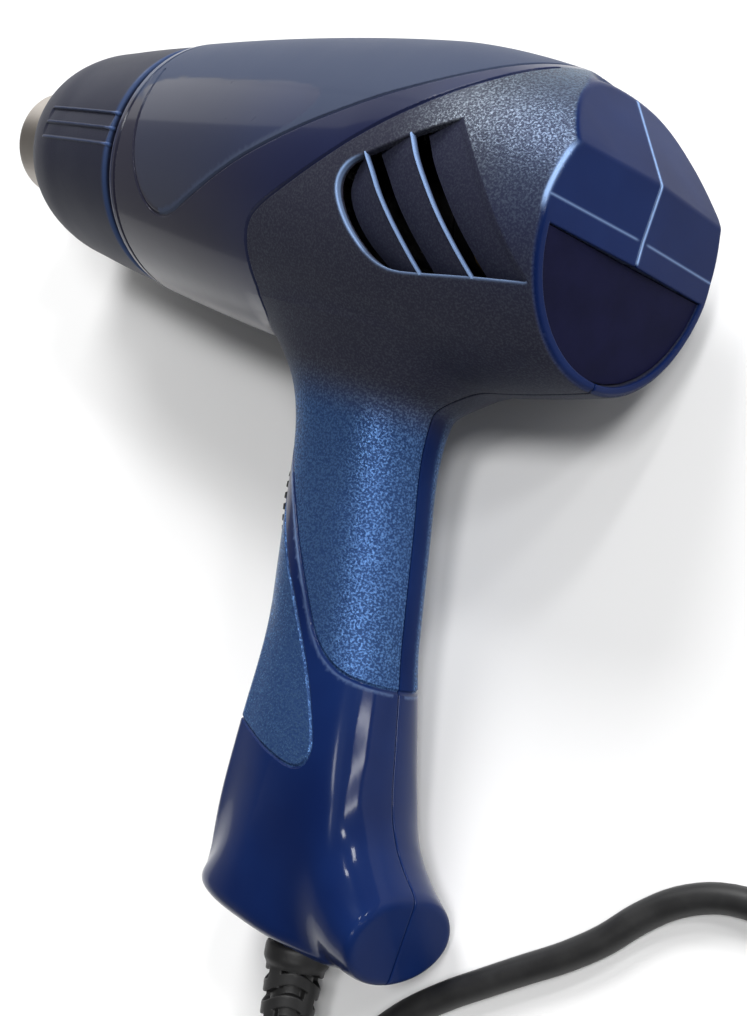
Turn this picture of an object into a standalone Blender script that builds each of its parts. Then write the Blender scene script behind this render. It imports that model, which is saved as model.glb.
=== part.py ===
"""Hot air tool, lying on its right side with its mains lead on the floor beside it.

Lengths are in metres. The tool is built in its own working frame: X runs along the barrel with the
nozzle towards -X, Y is the tool's up, Z is its left side, and the barrel's axis is Y = Z = 0.
lay_down() then lowers the finished tool onto the floor, Z = 0, on the side that it comes to rest on.
The lead is routed on that floor afterwards.
"""
import math

import bmesh
import bpy
from mathutils import Matrix, Vector

MM = 0.001
TURN = 2 * math.pi

# Fits
FIT = 0.3 * MM
RUNNING_FIT = 0.07 * MM
BORE_CLEARANCE = 0.4 * MM
WELD = 0.002 * MM

# Barrel housing
WALL = 2.5 * MM
BODY_LENGTH = 161.4 * MM
BODY_FRONT_RADIUS = 37.1 * MM
BODY_WAIST_RADIUS = 43.3 * MM
BODY_WAIST_AT = 100 * MM
BODY_REAR_RADIUS = 33.6 * MM
BODY_FRONT_CURVE = 1.7
BODY_REAR_CURVE = 1.7
SPIGOT_LENGTH = 14 * MM
SPIGOT_RADIUS = 32.6 * MM
SPIGOT_BORE = 30 * MM

# Faceted tail cap, on which the tool can stand nozzle up
APEX_HEIGHT = 16.2 * MM
FACET_LEAN = math.radians(38.5)
FACET_SWEEP = math.radians(3.2)
PLATE_TOP = -3.2 * MM
PLATE_RIM = 2.4 * MM
PLATE_DEPTH = 1.5 * MM
PLATE_THICKNESS = 0.8 * MM

# Side vents: each slot follows a leaning curve across the side of the barrel
VENT_COUNT = 3
VENT_FRONT = BODY_LENGTH - 52.4 * MM
VENT_PITCH = 12.5 * MM
VENT_SLOT = 4.2 * MM
VENT_TOP = 10 * MM
VENT_BOTTOM = -18 * MM
VENT_LEAN = 22 * MM
VENT_BOW = 2.4 * MM
VENT_RECESS = 1.4 * MM
VENT_MARGIN = 3 * MM

# Handle: (drop, front, rear, half width) of its cross-sections. Drops count down from the barrel's
# underside, and front and rear count forward from the tail.
UNDERSIDE = -BODY_WAIST_RADIUS
HANDLE_SECTIONS = tuple(
    (UNDERSIDE - drop * MM, BODY_LENGTH - front * MM, BODY_LENGTH - rear * MM, half_width * MM)
    for drop, front, rear, half_width in (
        (-9.3, 107.4, 27.4, 28), (-1.3, 98.4, 36.4, 23), (6.7, 90.4, 44.4, 18.5),
        (16.7, 84.4, 43.4, 16.5), (36.7, 78.8, 37.3, 15.5), (61.7, 71.9, 29.6, 15.5),
        (86.7, 64.4, 21.4, 16), (108.7, 60.4, 16.4, 16.5), (126.7, 61.4, 14.4, 17),
        (135.7, 63.9, 14.4, 16.6), (137.7, 62.4, 15.9, 15.2)))
HANDLE_SQUARENESS = 2.4
# Heel of the handle: (distance from the tail, drop of its top, drop of its bottom, half width). Its end is
# the stand's foot, in line with the tail.
HEEL_SECTIONS = tuple(
    (BODY_LENGTH - back * MM, UNDERSIDE - top * MM, UNDERSIDE - bottom * MM, half_width * MM)
    for back, top, bottom, half_width in (
        (43.4, 56.7, 134.7, 13.5), (31.4, 65.7, 136, 15.8), (21.4, 87.2, 136.8, 17),
        (16.4, 98.5, 137.2, 17.5), (11.4, 105.4, 137.3, 17.8), (7.4, 109.3, 137.2, 18),
        (3.4, 112.3, 136.9, 18), (0, 114.6, 136.1, 17.9)))

# Heat shield, a sleeve that twists off the spigot: (distance along the barrel, outer radius)
SHIELD_OUTLINE = tuple((x * MM, r * MM) for x, r in (
    (-63, 22.6), (-62, 23.9), (-57, 27.2), (-46, 31), (-23, 34.2), (-4.4, 36.2), (-3.6, 35.6)))
SHIELD_WALL = 2.2 * MM
SHIELD_MOUTH = 18.4 * MM
SHIELD_BORE = 33.2 * MM
SHIELD_SEAT_FROM = -17 * MM
LUG_ARC = math.radians(14)
LUG_HEIGHT = 1.2 * MM
LUG_FROM = -11.5 * MM
LUG_LENGTH = 3 * MM
TWIST = math.radians(22)
PAD_RIBS = 3
PAD_RIB_PITCH = 4.7 * MM
PAD_GROOVE = 3.1 * MM
PAD_GROOVE_DEPTH = 0.9 * MM

# Nozzle and heating element
NOZZLE_TIP = -83.5 * MM
NOZZLE_REAR = 34 * MM
NOZZLE_RADIUS = 16.85 * MM
NOZZLE_WALL = 0.8 * MM
FLANGE_AT = 30 * MM
FLANGE_THICKNESS = 1.4 * MM
FLANGE_COLLAR = 5 * MM
FLANGE_COLLAR_WALL = 1.2 * MM
MICA_WALL = 0.6 * MM
ELEMENT_FRONT = -70 * MM
ELEMENT_REAR = 26 * MM
MICA_THICKNESS = 1.2 * MM
ELEMENT_BOARD_HALF_WIDTH = 11.2 * MM
HEATER_WIRE = 1.5 * MM
HEATER_LOOPS = 12
HEATER_SIDES = 8
HEATER_MARGIN = 6 * MM
CUTOUT_RADIUS = 2.5 * MM
CUTOUT_LENGTH = 9 * MM

# Fan and motor
MOUNT_AT = 80 * MM
MOUNT_LENGTH = 12 * MM
MOUNT_RING_WALL = 2.2 * MM
MOUNT_VANES = 6
MOUNT_VANE = 1.8 * MM
RIB_HEIGHT = 2.4 * MM
RIB_THICKNESS = 2.2 * MM
MOTOR_RADIUS = 14 * MM
MOTOR_LENGTH = 32 * MM
END_CAP_LENGTH = 5 * MM
SHAFT_RADIUS = 1.5 * MM
BUSH_RADIUS = 4 * MM
BUSH_LENGTH = 2 * MM
FAN_BLADES = 7
FAN_RADIUS = 36 * MM
FAN_HUB_RADIUS = 9 * MM
FAN_LENGTH = 14 * MM
FAN_BLADE = 1.4 * MM
FAN_CHORD = (0.85, 1.2)
FAN_PITCH = (38, 62)
FAN_AT = 61 * MM
BOARD_THICKNESS = 1.6 * MM
BOARD_RADIUS = 12.5 * MM
DIODE_RADIUS = 1.35 * MM
DIODE_LENGTH = 5.2 * MM

# Slide switch on the front of the handle, with positions 0, I and II
SWITCH_HEIGHT = UNDERSIDE - 32.7 * MM
SWITCH_STEP = 6 * MM
SWITCH_STEPS = 2
KNOB = Vector((16, 3.2, 11)) * MM
KNOB_GROOVE = 0.8 * MM
SHOE_LENGTH = 38 * MM
SHOE_THICKNESS = 1.4 * MM
SHOE_WIDTH = 12.6 * MM
SHOE_DEPTH = 4.4 * MM
NECK = Vector((12, 0, 8)) * MM
SWITCH_BODY = Vector((30, 14, 14)) * MM
LEVER = Vector((4, 3.4, 3)) * MM
CAPACITOR = Vector((18, 9, 12)) * MM
TAB = Vector((0.8, 7, 4.8)) * MM

# Cord entry under the handle
ENTRY_AT = BODY_LENGTH - 30.4 * MM
ENTRY_LEAN = math.radians(11)
CORD_RADIUS = 3.5 * MM
COLLAR_RADIUS = 9.8 * MM
COLLAR_LENGTH = 8.5 * MM
NECK_RADIUS = 6.6 * MM
NECK_FLANGE = 2 * MM
SLEEVE_LENGTH = 34 * MM
SLEEVE_TOP_RADIUS = 7.4 * MM
SLEEVE_END_RADIUS = 5.0 * MM
SLEEVE_RIBS = 7
SLEEVE_GROOVE = 0.9 * MM
CLAMP_HEIGHT = UNDERSIDE - 116.7 * MM
CLAMP = Vector((20, 7, 6)) * MM
CLAMP_SCREW_REACH = 6.9 * MM
CLAMP_SCREW_RADIUS = 1.2 * MM
CLAMP_SCREW_HEAD = Vector((1.8, 2.2, 0)) * MM
CLAMP_SCREW_LENGTH = 13 * MM
TERMINAL_BLOCK = Vector((14, 16, 11)) * MM
TERMINAL_HEIGHT = UNDERSIDE - 77.7 * MM
CORE_RADIUS = 0.9 * MM
CORE_REACH = 1.6 * MM
CORE_SIDES = 8
CORE_STEPS = 8

# Housing screws, all driven from the right: (distance along the barrel, height). The barrel's screws sit
# at a share of its radius, and the handle's at a distance from the tail and a drop.
BARREL_BOSS_SHARE = 0.62
BARREL_BOSSES = ((14 * MM, 1), (14 * MM, -1), (BODY_LENGTH - 33.4 * MM, 1), (BODY_LENGTH - 22.4 * MM, -0.95))
HANDLE_BOSSES = ((52.4, 7.7), (40.4, 60.7), (54.4, 103.7), (10.4, 124.7))
BOSSES = (*((x, side * BARREL_BOSS_SHARE * BODY_WAIST_RADIUS) for x, side in BARREL_BOSSES),
          *((BODY_LENGTH - back * MM, UNDERSIDE - drop * MM) for back, drop in HANDLE_BOSSES))
BOSS_RADIUS = 4 * MM
SCREW_HEAD_RADIUS = 3 * MM
SCREW_HEAD_HEIGHT = 2.2 * MM
SCREW_RADIUS = 1.4 * MM
SCREW_SEAT = 7 * MM
SCREW_LENGTH = 13 * MM

# Mains lead on the floor. The route's points are measured from the sleeve's end, and the last
# number of each is the height of the lead's middle over its resting height.
LEAD_LENGTH = 1.8
LEAD_ROUTE = tuple(Vector(point) * MM for point in (
    (2.2, -15.4, 3), (1.3, -25.9, 1), (-2.5, -37.4, 0), (-8.5, -48.9, 0), (-14.5, -60.9, 0),
    (-17.5, -73.9, 0), (-14.5, -87.4, 0), (-5, -98.4, 0), (9.5, -102.9, 0), (24.5, -99.9, 0),
    (35.5, -89.9, 0), (39.5, -75.9, 0), (37.5, -61.9, 0), (31.5, -48.9, 0), (24.5, -36.9, 0),
    (17.5, -24.4, 0), (12.2, -10.9, 0), (10, 3.1, 0), (10.3, 16.6, 0), (13.8, 28.1, 0), (19.8, 38.1, 0),
    (27.8, 47.1, 0), (36.3, 55, 0), (44.6, 62.5, 0), (52.6, 69.6, 0), (59.8, 77.3, 0), (65.6, 85.4, 0),
    (72.6, 92.6, 0), (81.8, 97.8, 0), (93, 99.9, 0), (106.5, 99.6, 0), (121, 99.6, 0), (136, 101.1, 0)))
LEAD_SPACING = 14 * MM
COIL_MEAN_RADIUS = 38.8 * MM
COIL_PITCH = 7.5 * MM
COIL_STEPS = 24
TAIL_LENGTH = 62 * MM
TAIL_SAG = 5 * MM

# Two-pin contour plug: (distance from the lead, half width, half height)
PLUG_HALF_HEIGHT = 12.4 * MM
PLUG_SECTIONS = tuple(tuple(size * MM for size in section) for section in (
    (0, 4.4, 4.4), (16.8, 5.6, 5.6), (24, 12.3, 8.9), (30, 17.5, 12.1), (58, 17.5, 12.1)))
PLUG_SIDES = 24
PIN_SIDES = 12
PIN_RADIUS = 2.4 * MM
PIN_LENGTH = 19 * MM
PIN_SPACING = 19 * MM

# Sides of round forms
ROUND = 32
HANDLE_SIDES = 24
HEEL_SIDES = 20
SMALL_ROUND = 16
SCREW_SIDES = 10


def clear_scene():
    """Remove every object of the open scene."""
    for thing in list(bpy.data.objects):
        bpy.data.objects.remove(thing)


def material(name, colour, roughness, metallic=0.0):
    """Return a Principled material with the given colour, roughness and metallic value."""
    made = bpy.data.materials.new(name)
    made.use_nodes = True
    shader = made.node_tree.nodes["Principled BSDF"]
    shader.inputs["Base Color"].default_value = (*colour, 1)
    shader.inputs["Roughness"].default_value = roughness
    shader.inputs["Metallic"].default_value = metallic
    made.diffuse_color = (*colour, 1)
    return made


class Finish:
    """The materials of the tool, one for each kind of surface."""

    def __init__(self):
        self.navy = material("navy_plastic", (0.014, 0.032, 0.125), 0.42)
        self.shield = material("shield_plastic", (0.018, 0.026, 0.07), 0.6)
        self.plate = material("plate_plastic", (0.006, 0.008, 0.03), 0.5)
        self.black = material("black_plastic", (0.012, 0.012, 0.013), 0.45)
        self.rubber = material("black_rubber", (0.01, 0.01, 0.01), 0.7)
        self.steel = material("nozzle_steel", (0.42, 0.39, 0.35), 0.35, 1.0)
        self.zinc = material("zinc_steel", (0.6, 0.6, 0.62), 0.3, 1.0)
        self.mica = material("mica_board", (0.55, 0.5, 0.4), 0.7)
        self.wire = material("heater_wire", (0.35, 0.32, 0.3), 0.45, 1.0)
        self.nylon = material("white_nylon", (0.75, 0.74, 0.7), 0.5)
        self.board = material("circuit_board", (0.55, 0.42, 0.2), 0.5)
        self.brass = material("brass", (0.78, 0.6, 0.28), 0.3, 1.0)


def node(name, mesh_build, finish, smooth=30):
    """Turn a bmesh into a named object with one material, its faces pointing out."""
    bmesh.ops.recalc_face_normals(mesh_build, faces=mesh_build.faces)
    mesh = bpy.data.meshes.new(name)
    mesh_build.to_mesh(mesh)
    mesh_build.free()
    made = bpy.data.objects.new(name, mesh)
    bpy.context.collection.objects.link(made)
    mesh.materials.append(finish)
    shade(made, smooth)
    return made


def shade(thing, angle=30):
    """Shade an object smooth except across edges sharper than an angle in degrees."""
    thing.data.shade_smooth()
    thing.data.set_sharp_from_angle(angle=math.radians(angle))


def loft(rings, closed=False):
    """Skin rings of equally many points; an open row gets flat ends, a closed one joins up."""
    built = bmesh.new()
    rows = [[built.verts.new(point) for point in ring] for ring in rings]
    pairs = list(zip(rows, rows[1:] + rows[:1])) if closed else list(zip(rows, rows[1:]))
    for row, following in pairs:
        count = len(row)
        for index in range(count):
            after = (index + 1) % count
            built.faces.new((row[index], row[after], following[after], following[index]))
    if not closed:
        built.faces.new(rows[0])
        built.faces.new(rows[-1])
    return built


def circle(along, radius, steps=ROUND):
    """Return a ring of points round the barrel's axis, at a distance along it."""
    angles = [TURN * step / steps for step in range(steps)]
    return [Vector((along, radius * math.cos(angle), radius * math.sin(angle))) for angle in angles]


def turned(outline, steps=ROUND, closed=False):
    """Spin an outline of (distance along the barrel, radius) round the barrel's axis."""
    return loft([circle(along, radius, steps) for along, radius in outline], closed)


def rod(start, end, radius, steps=SMALL_ROUND):
    """Return a round bar between two points."""
    axis = (end - start).normalized()
    side = axis.orthogonal().normalized()
    other = axis.cross(side)
    angles = [TURN * step / steps for step in range(steps)]
    spokes = [radius * (side * math.cos(angle) + other * math.sin(angle)) for angle in angles]
    return loft([[centre + spoke for spoke in spokes] for centre in (start, end)])


def block(low, high, frame=Matrix()):
    """Return a box between two corners of a frame."""
    built = bmesh.new()
    made = [built.verts.new(frame @ Vector((x, y, z)))
            for x in (low[0], high[0]) for y in (low[1], high[1]) for z in (low[2], high[2])]
    for face in ((0, 1, 3, 2), (4, 6, 7, 5), (0, 4, 5, 1), (2, 3, 7, 6), (0, 2, 6, 4), (1, 5, 7, 3)):
        built.faces.new([made[index] for index in face])
    return built


def arc_block(along, length, inner, outer, middle, arc, steps=6):
    """Return a block bent round the barrel, centred on an angle from the tool's left side."""
    rings = []
    for step in range(steps + 1):
        angle = middle + arc * (step / steps - 0.5)
        spoke = Vector((0, math.sin(angle), math.cos(angle)))
        corners = ((along, inner), (along, outer), (along + length, outer), (along + length, inner))
        rings.append([Vector((x, 0, 0)) + spoke * radius for x, radius in corners])
    return loft(rings)


def tool_of(mesh_build):
    """Return a temporary object for a Boolean."""
    return node("cutter", mesh_build, None)


def combine(target, operation, *tools):
    """Apply one exact Boolean for each tool to an object, and remove the tools."""
    for tool in tools:
        change = target.modifiers.new(operation.lower(), "BOOLEAN")
        change.operation = operation
        change.object = tool
    bpy.context.view_layer.update()
    shape = target.evaluated_get(bpy.context.evaluated_depsgraph_get())
    mesh = bpy.data.meshes.new_from_object(shape)
    build = bmesh.new()
    build.from_mesh(mesh)
    bmesh.ops.remove_doubles(build, verts=build.verts, dist=WELD)
    bmesh.ops.dissolve_degenerate(build, edges=build.edges, dist=WELD)
    build.to_mesh(mesh)
    build.free()
    target.modifiers.clear()
    target.data = mesh
    for tool in tools:
        bpy.data.objects.remove(tool)
    return target


def add(target, *builds):
    """Join solids to an object."""
    return combine(target, "UNION", *[tool_of(build) for build in builds])


def cut(target, *builds):
    """Cut solids out of an object."""
    return combine(target, "DIFFERENCE", *[tool_of(build) for build in builds])


def slice_off(mesh_build, point, normal):
    """Cut away what lies beyond a plane and close the solid with a flat face."""
    everything = mesh_build.verts[:] + mesh_build.edges[:] + mesh_build.faces[:]
    result = bmesh.ops.bisect_plane(mesh_build, geom=everything, plane_co=point, plane_no=normal,
                                    clear_outer=True)
    edges = [item for item in result["geom_cut"] if isinstance(item, bmesh.types.BMEdge)]
    bmesh.ops.contextual_create(mesh_build, geom=edges)
    return mesh_build


def body_radius(along):
    """Outer radius of the barrel at a distance along it."""
    if along <= BODY_WAIST_AT:
        share = (BODY_WAIST_AT - along) / BODY_WAIST_AT
        return BODY_WAIST_RADIUS - (BODY_WAIST_RADIUS - BODY_FRONT_RADIUS) * share ** BODY_FRONT_CURVE
    share = (along - BODY_WAIST_AT) / (BODY_LENGTH - BODY_WAIST_AT)
    return BODY_WAIST_RADIUS - (BODY_WAIST_RADIUS - BODY_REAR_RADIUS) * share ** BODY_REAR_CURVE


def facet_planes(inset):
    """Return the point and outward normal of the tail cap's four facets, moved in by an inset."""
    planes = []
    apex = Vector((BODY_LENGTH, APEX_HEIGHT, 0))
    for lean in (0, FACET_LEAN):
        for side in (1, -1):
            normal = Vector((math.cos(lean), math.sin(lean), side * math.sin(FACET_SWEEP))).normalized()
            planes.append((apex - normal * inset, normal))
    return planes


def body_solid(inset, outline_front):
    """Return the barrel as a solid, its walls moved in by an inset."""
    stations = [BODY_LENGTH * share for share in (0.01, 0.16, 0.33, 0.48, 0.62, 0.75, 0.86, 0.94)]
    outline = list(outline_front)
    outline += [(along, body_radius(along) - inset) for along in stations if along > outline_front[-1][0]]
    outline.append((BODY_LENGTH + WALL, body_radius(BODY_LENGTH) - inset))
    solid = turned(outline)
    for point, normal in facet_planes(inset):
        slice_off(solid, point, normal)
    return solid


def interpolate(rows, place):
    """Read a row of sizes from a table of sections, between the two nearest ones."""
    for low, high in zip(rows, rows[1:]):
        if min(low[0], high[0]) <= place <= max(low[0], high[0]):
            share = (place - low[0]) / (high[0] - low[0])
            return [a + (b - a) * share for a, b in zip(low[1:], high[1:])]
    raise ValueError("no section there")


def handle_solid(inset):
    """Return the handle's column as a solid, its walls moved in by an inset."""
    rings = []
    for height, front, rear, half_width in HANDLE_SECTIONS:
        if height == HANDLE_SECTIONS[-1][0]:
            height += inset
        middle = (front + rear) / 2
        depth = (rear - front) / 2 - inset
        ring = []
        for step in range(HANDLE_SIDES):
            angle = TURN * step / HANDLE_SIDES
            across, deep = math.sin(angle), math.cos(angle)
            power = 2 / HANDLE_SQUARENESS
            ring.append(Vector((middle + math.copysign(abs(deep) ** power, deep) * depth, height,
                                math.copysign(abs(across) ** power, across) * (half_width - inset))))
        rings.append(ring)
    if inset:
        rings.pop(-2)
    return loft(rings)


def heel_solid(inset):
    """Return the handle's heel as a solid, its walls moved in by an inset."""
    rings = []
    for along, top, bottom, half_width in HEEL_SECTIONS:
        if along == HEEL_SECTIONS[-1][0]:
            along -= inset
        middle = (top + bottom) / 2
        angles = [TURN * step / HEEL_SIDES for step in range(HEEL_SIDES)]
        rings.append([Vector((along, middle + ((top - bottom) / 2 - inset) * math.cos(angle),
                              (half_width - inset) * math.sin(angle))) for angle in angles])
    if inset:
        rings.pop(-2)
    return loft(rings)


def vent_line(slot, height):
    """Distance along the barrel of a vent slot's front edge at a height."""
    share = (height - VENT_BOTTOM) / (VENT_TOP - VENT_BOTTOM)
    bow = VENT_BOW * (1 - (2 * share - 1) ** 2)
    return VENT_FRONT + slot * VENT_PITCH + VENT_LEAN * (1 - share) - bow


def vent_band(front_slot, rear_slot, offset, width, lift):
    """Return the prism between two vent lines, on the tool's left."""
    outline = []
    heights = [VENT_BOTTOM - lift + (VENT_TOP - VENT_BOTTOM + 2 * lift) * step / 4 for step in range(5)]
    outline += [(vent_line(front_slot, height) + offset, height) for height in heights]
    outline += [(vent_line(rear_slot, height) + offset + width, height) for height in reversed(heights)]
    near, far = BODY_REAR_RADIUS * 0.5, BODY_WAIST_RADIUS + WALL
    return loft([[Vector((x, y, z)) for x, y in outline] for z in (near, far)])


def to_side(mesh_build, side):
    """Move a solid of the tool's left side to the given side, 1 for left and -1 for right."""
    bmesh.ops.scale(mesh_build, vec=(1, 1, side), verts=mesh_build.verts)
    return mesh_build


def wall_at(along, height):
    """Half width of the tool at a point of its side view."""
    radius = body_radius(along)
    if abs(height) < radius:
        return math.sqrt(radius ** 2 - height ** 2)
    if along > HANDLE_SECTIONS[-1][2]:
        top, bottom, half_width = interpolate(HEEL_SECTIONS, along)
        share = (height - (top + bottom) / 2) / ((top - bottom) / 2)
        return half_width * math.sqrt(1 - share ** 2)
    front, rear, half_width = interpolate(HANDLE_SECTIONS, height)
    share = abs(along - (front + rear) / 2) / ((rear - front) / 2)
    return half_width * (1 - share ** HANDLE_SQUARENESS) ** (1 / HANDLE_SQUARENESS)


def bore_at(along):
    """Inner radius of the barrel at a distance along it."""
    return body_radius(along) - WALL


def cavity_outline():
    """Return the barrel's inner outline, with the ribs that hold the flange and the motor mount."""
    outline = [(-SPIGOT_LENGTH - WALL, SPIGOT_BORE), (WALL, SPIGOT_BORE), (WALL, bore_at(WALL))]
    for seat, length in ((FLANGE_AT, FLANGE_THICKNESS), (MOUNT_AT, MOUNT_LENGTH)):
        for rib_from, rib_to in ((seat - FIT - RIB_THICKNESS, seat - FIT),
                                 (seat + length + FIT, seat + length + FIT + RIB_THICKNESS)):
            crest = bore_at(rib_from) - RIB_HEIGHT
            outline += [(rib_from, bore_at(rib_from)), (rib_from, crest),
                        (rib_to, crest), (rib_to, bore_at(rib_to))]
    return outline


def switch_frame():
    """Frame of the switch: X up the handle's front, Y out of it, Z to the tool's left."""
    front_here = interpolate(HANDLE_SECTIONS, SWITCH_HEIGHT)[0]
    low, high = (interpolate(HANDLE_SECTIONS, SWITCH_HEIGHT + reach)[0]
                 for reach in (-KNOB.x / 2, KNOB.x / 2))
    up = Vector((high - low, KNOB.x, 0)).normalized()
    out = Vector((-up.y, up.x, 0))
    turn = Matrix((up, out, Vector((0, 0, 1)))).transposed().to_4x4()
    return Matrix.Translation((front_here, SWITCH_HEIGHT, 0)) @ turn


def entry_axis():
    """Return the point where the cord leaves the handle's sole, and its direction there."""
    out = Vector((math.sin(ENTRY_LEAN), -math.cos(ENTRY_LEAN), 0))
    return Vector((ENTRY_AT, HANDLE_SECTIONS[-1][0], 0)), out


def clamp_centre():
    """Point of the cord's axis that is midway through the clamp."""
    entry, out = entry_axis()
    return entry + out * ((CLAMP_HEIGHT - entry.y) / out.y)


def clamp_screw_places():
    """Where the clamp's two screws stand, one on each side of the cord."""
    middle = clamp_centre()
    return [middle + Vector((side * CLAMP_SCREW_REACH, 0, 0)) for side in (1, -1)]


def build_housing(finish):
    """Build the hollow housing as one shell, then part it into its left and right halves."""
    spigot = [(-SPIGOT_LENGTH, SPIGOT_RADIUS), (0, SPIGOT_RADIUS), (0, BODY_FRONT_RADIUS - FIT)]
    shell = node("left_housing", body_solid(0, spigot), finish.navy)
    add(shell, handle_solid(0), heel_solid(0))
    cavity = tool_of(body_solid(WALL, cavity_outline()))
    add(cavity, handle_solid(WALL), heel_solid(WALL))
    combine(shell, "DIFFERENCE", cavity)

    for side in (1, -1):
        skin = tool_of(to_side(vent_band(0, VENT_COUNT, -VENT_MARGIN, 0, VENT_MARGIN), side))
        cut(skin, body_solid(VENT_RECESS, ((0, BODY_FRONT_RADIUS - VENT_RECESS),)))
        combine(shell, "DIFFERENCE", skin)
        cut(shell, *[to_side(vent_band(slot, slot, 0, VENT_SLOT, 0), side) for slot in range(VENT_COUNT)])

    plate_radius = BODY_REAR_RADIUS - PLATE_RIM
    plate_floor = BODY_LENGTH - PLATE_DEPTH - plate_radius * math.tan(FACET_SWEEP)
    seat = turned(((plate_floor, plate_radius), (BODY_LENGTH + WALL, plate_radius)))
    slice_off(seat, Vector((0, PLATE_TOP, 0)), Vector((0, 1, 0)))
    cut(shell, seat)

    towers = []
    for along, height in BOSSES:
        corners = [(along + reach, height + lift) for reach in (-BOSS_RADIUS, BOSS_RADIUS)
                   for lift in (-BOSS_RADIUS, BOSS_RADIUS)]
        depth = min(wall_at(*corner) for corner in corners) - FIT
        towers.append(rod(Vector((along, height, -depth)), Vector((along, height, depth)),
                          BOSS_RADIUS, SCREW_SIDES))
    lugs = [arc_block(LUG_FROM, LUG_LENGTH, SPIGOT_RADIUS - WALL / 2, SPIGOT_RADIUS + LUG_HEIGHT,
                      side * math.pi, LUG_ARC) for side in (0, 1)]
    add(shell, *towers, *lugs)
    add(shell, *housing_ribs())

    frame = switch_frame()
    travel = SWITCH_STEP * SWITCH_STEPS
    slot_half = (NECK.x + travel) / 2 + FIT
    cut(shell, block((-slot_half, -WALL * 1.5, -NECK.z / 2 - FIT),
                     (slot_half, WALL, NECK.z / 2 + FIT), frame))
    entry, out = entry_axis()
    cut(shell, rod(entry - out * WALL * 2, entry + out * WALL, NECK_RADIUS + FIT))
    cut(shell, rod(clamp_centre() - out * CLAMP.y, clamp_centre() + out * CLAMP.y, CORD_RADIUS + FIT))
    far = BODY_LENGTH * 2
    cut(shell, block((-far, -far, -FIT / 2), (far, far, FIT / 2)))
    return part_halves(shell, finish)


def housing_ribs():
    """Return the ribs that hold the switch, the terminal block and the cord clamp between the halves."""
    frame = switch_frame()
    ribs = []
    rib = RIB_THICKNESS
    switch_back = -SHOE_DEPTH - SHOE_THICKNESS - FIT
    middle = terminal_centre()
    for side in (1, -1):
        wall = side * (HANDLE_SECTIONS[4][3] - WALL / 2)
        near = side * (SWITCH_BODY.z / 2 + FIT)
        for end in (-1, 1):
            place = end * (SWITCH_BODY.x / 2 - rib * 1.5)
            ribs.append(block((place - rib / 2, switch_back - SWITCH_BODY.y + rib, near),
                              (place + rib / 2, switch_back - rib, wall), frame))
        near = side * (TERMINAL_BLOCK.z / 2 + FIT)
        ribs.append(block((middle.x - TERMINAL_BLOCK.x / 2, middle.y - rib / 2, near),
                          (middle.x + TERMINAL_BLOCK.x / 2, middle.y + rib / 2, wall)))
    clamp = clamp_centre()
    wall = HANDLE_SECTIONS[7][3] - WALL / 2
    ribs.append(block((clamp.x - CLAMP.x / 2, clamp.y - CLAMP.y / 2, -wall),
                      (clamp.x + CLAMP.x / 2, clamp.y + CLAMP.y / 2, 0)))
    return ribs


def terminal_centre():
    """Middle of the terminal block in the handle."""
    front, rear, _ = interpolate(HANDLE_SECTIONS, TERMINAL_HEIGHT)
    return Vector(((front + rear) / 2 - TERMINAL_BLOCK.x * 0.4, TERMINAL_HEIGHT, 0))


def upright(along, height, low, high, radius):
    """Return a thin round bar across the tool, between two distances from its middle plane."""
    return rod(Vector((along, height, low)), Vector((along, height, high)), radius, SCREW_SIDES)


def part_halves(shell, finish):
    """Split the slit shell into its two halves and cut the screw holes."""
    halves = []
    for name, side in (("left_housing", 1), ("right_housing", -1)):
        build = bmesh.new()
        build.from_mesh(shell.data)
        away = [vert for vert in build.verts if vert.co.z * side < 0]
        bmesh.ops.delete(build, geom=away, context="VERTS")
        halves.append(node(name + "_half", build, finish.navy))
    bpy.data.objects.remove(shell)
    left, right = halves
    left.name, right.name = "left_housing", "right_housing"
    cut(left, *[upright(x, y, -FIT, SCREW_LENGTH - SCREW_SEAT + FIT, SCREW_RADIUS + FIT) for x, y in BOSSES])
    shanks = [upright(x, y, -SCREW_SEAT - FIT, FIT, SCREW_RADIUS + FIT) for x, y in BOSSES]
    wells = [upright(x, y, -BODY_WAIST_RADIUS, -SCREW_SEAT, SCREW_HEAD_RADIUS + FIT) for x, y in BOSSES]
    deep = CLAMP.z - CLAMP_SCREW_LENGTH - FIT
    clamp_holes = [upright(place.x, place.y, deep, FIT, CLAMP_SCREW_RADIUS + FIT)
                   for place in clamp_screw_places()]
    cut(right, *shanks, *wells, *clamp_holes)
    for half in halves:
        shade(half)
    return halves


def screw(name, along, height, outline, finish):
    """Build a screw across the tool from an outline of (distance from its middle plane, radius)."""
    angles = [TURN * step / SCREW_SIDES for step in range(SCREW_SIDES)]
    rings = [[Vector((along + radius * math.cos(angle), height + radius * math.sin(angle), depth))
              for angle in angles] for depth, radius in outline]
    return node(name, loft(rings), finish.zinc)


def build_screws(finish):
    """Build the housing screws and the cord clamp's screws, one node each."""
    seat = -SCREW_SEAT - FIT
    outline = ((seat - SCREW_HEAD_HEIGHT, SCREW_HEAD_RADIUS), (seat, SCREW_HEAD_RADIUS),
               (seat, SCREW_RADIUS), (seat + SCREW_LENGTH, SCREW_RADIUS))
    screws = [screw(f"housing_screw_{number}", x, y, outline, finish)
              for number, (x, y) in enumerate(BOSSES, 1)]
    seat = CLAMP.z + FIT
    head_height, head_radius, _ = CLAMP_SCREW_HEAD
    outline = ((seat + head_height, head_radius), (seat, head_radius),
               (seat, CLAMP_SCREW_RADIUS), (seat - CLAMP_SCREW_LENGTH, CLAMP_SCREW_RADIUS))
    return screws + [screw(f"clamp_screw_{number}", place.x, place.y, outline, finish)
                     for number, place in enumerate(clamp_screw_places(), 1)]


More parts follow.
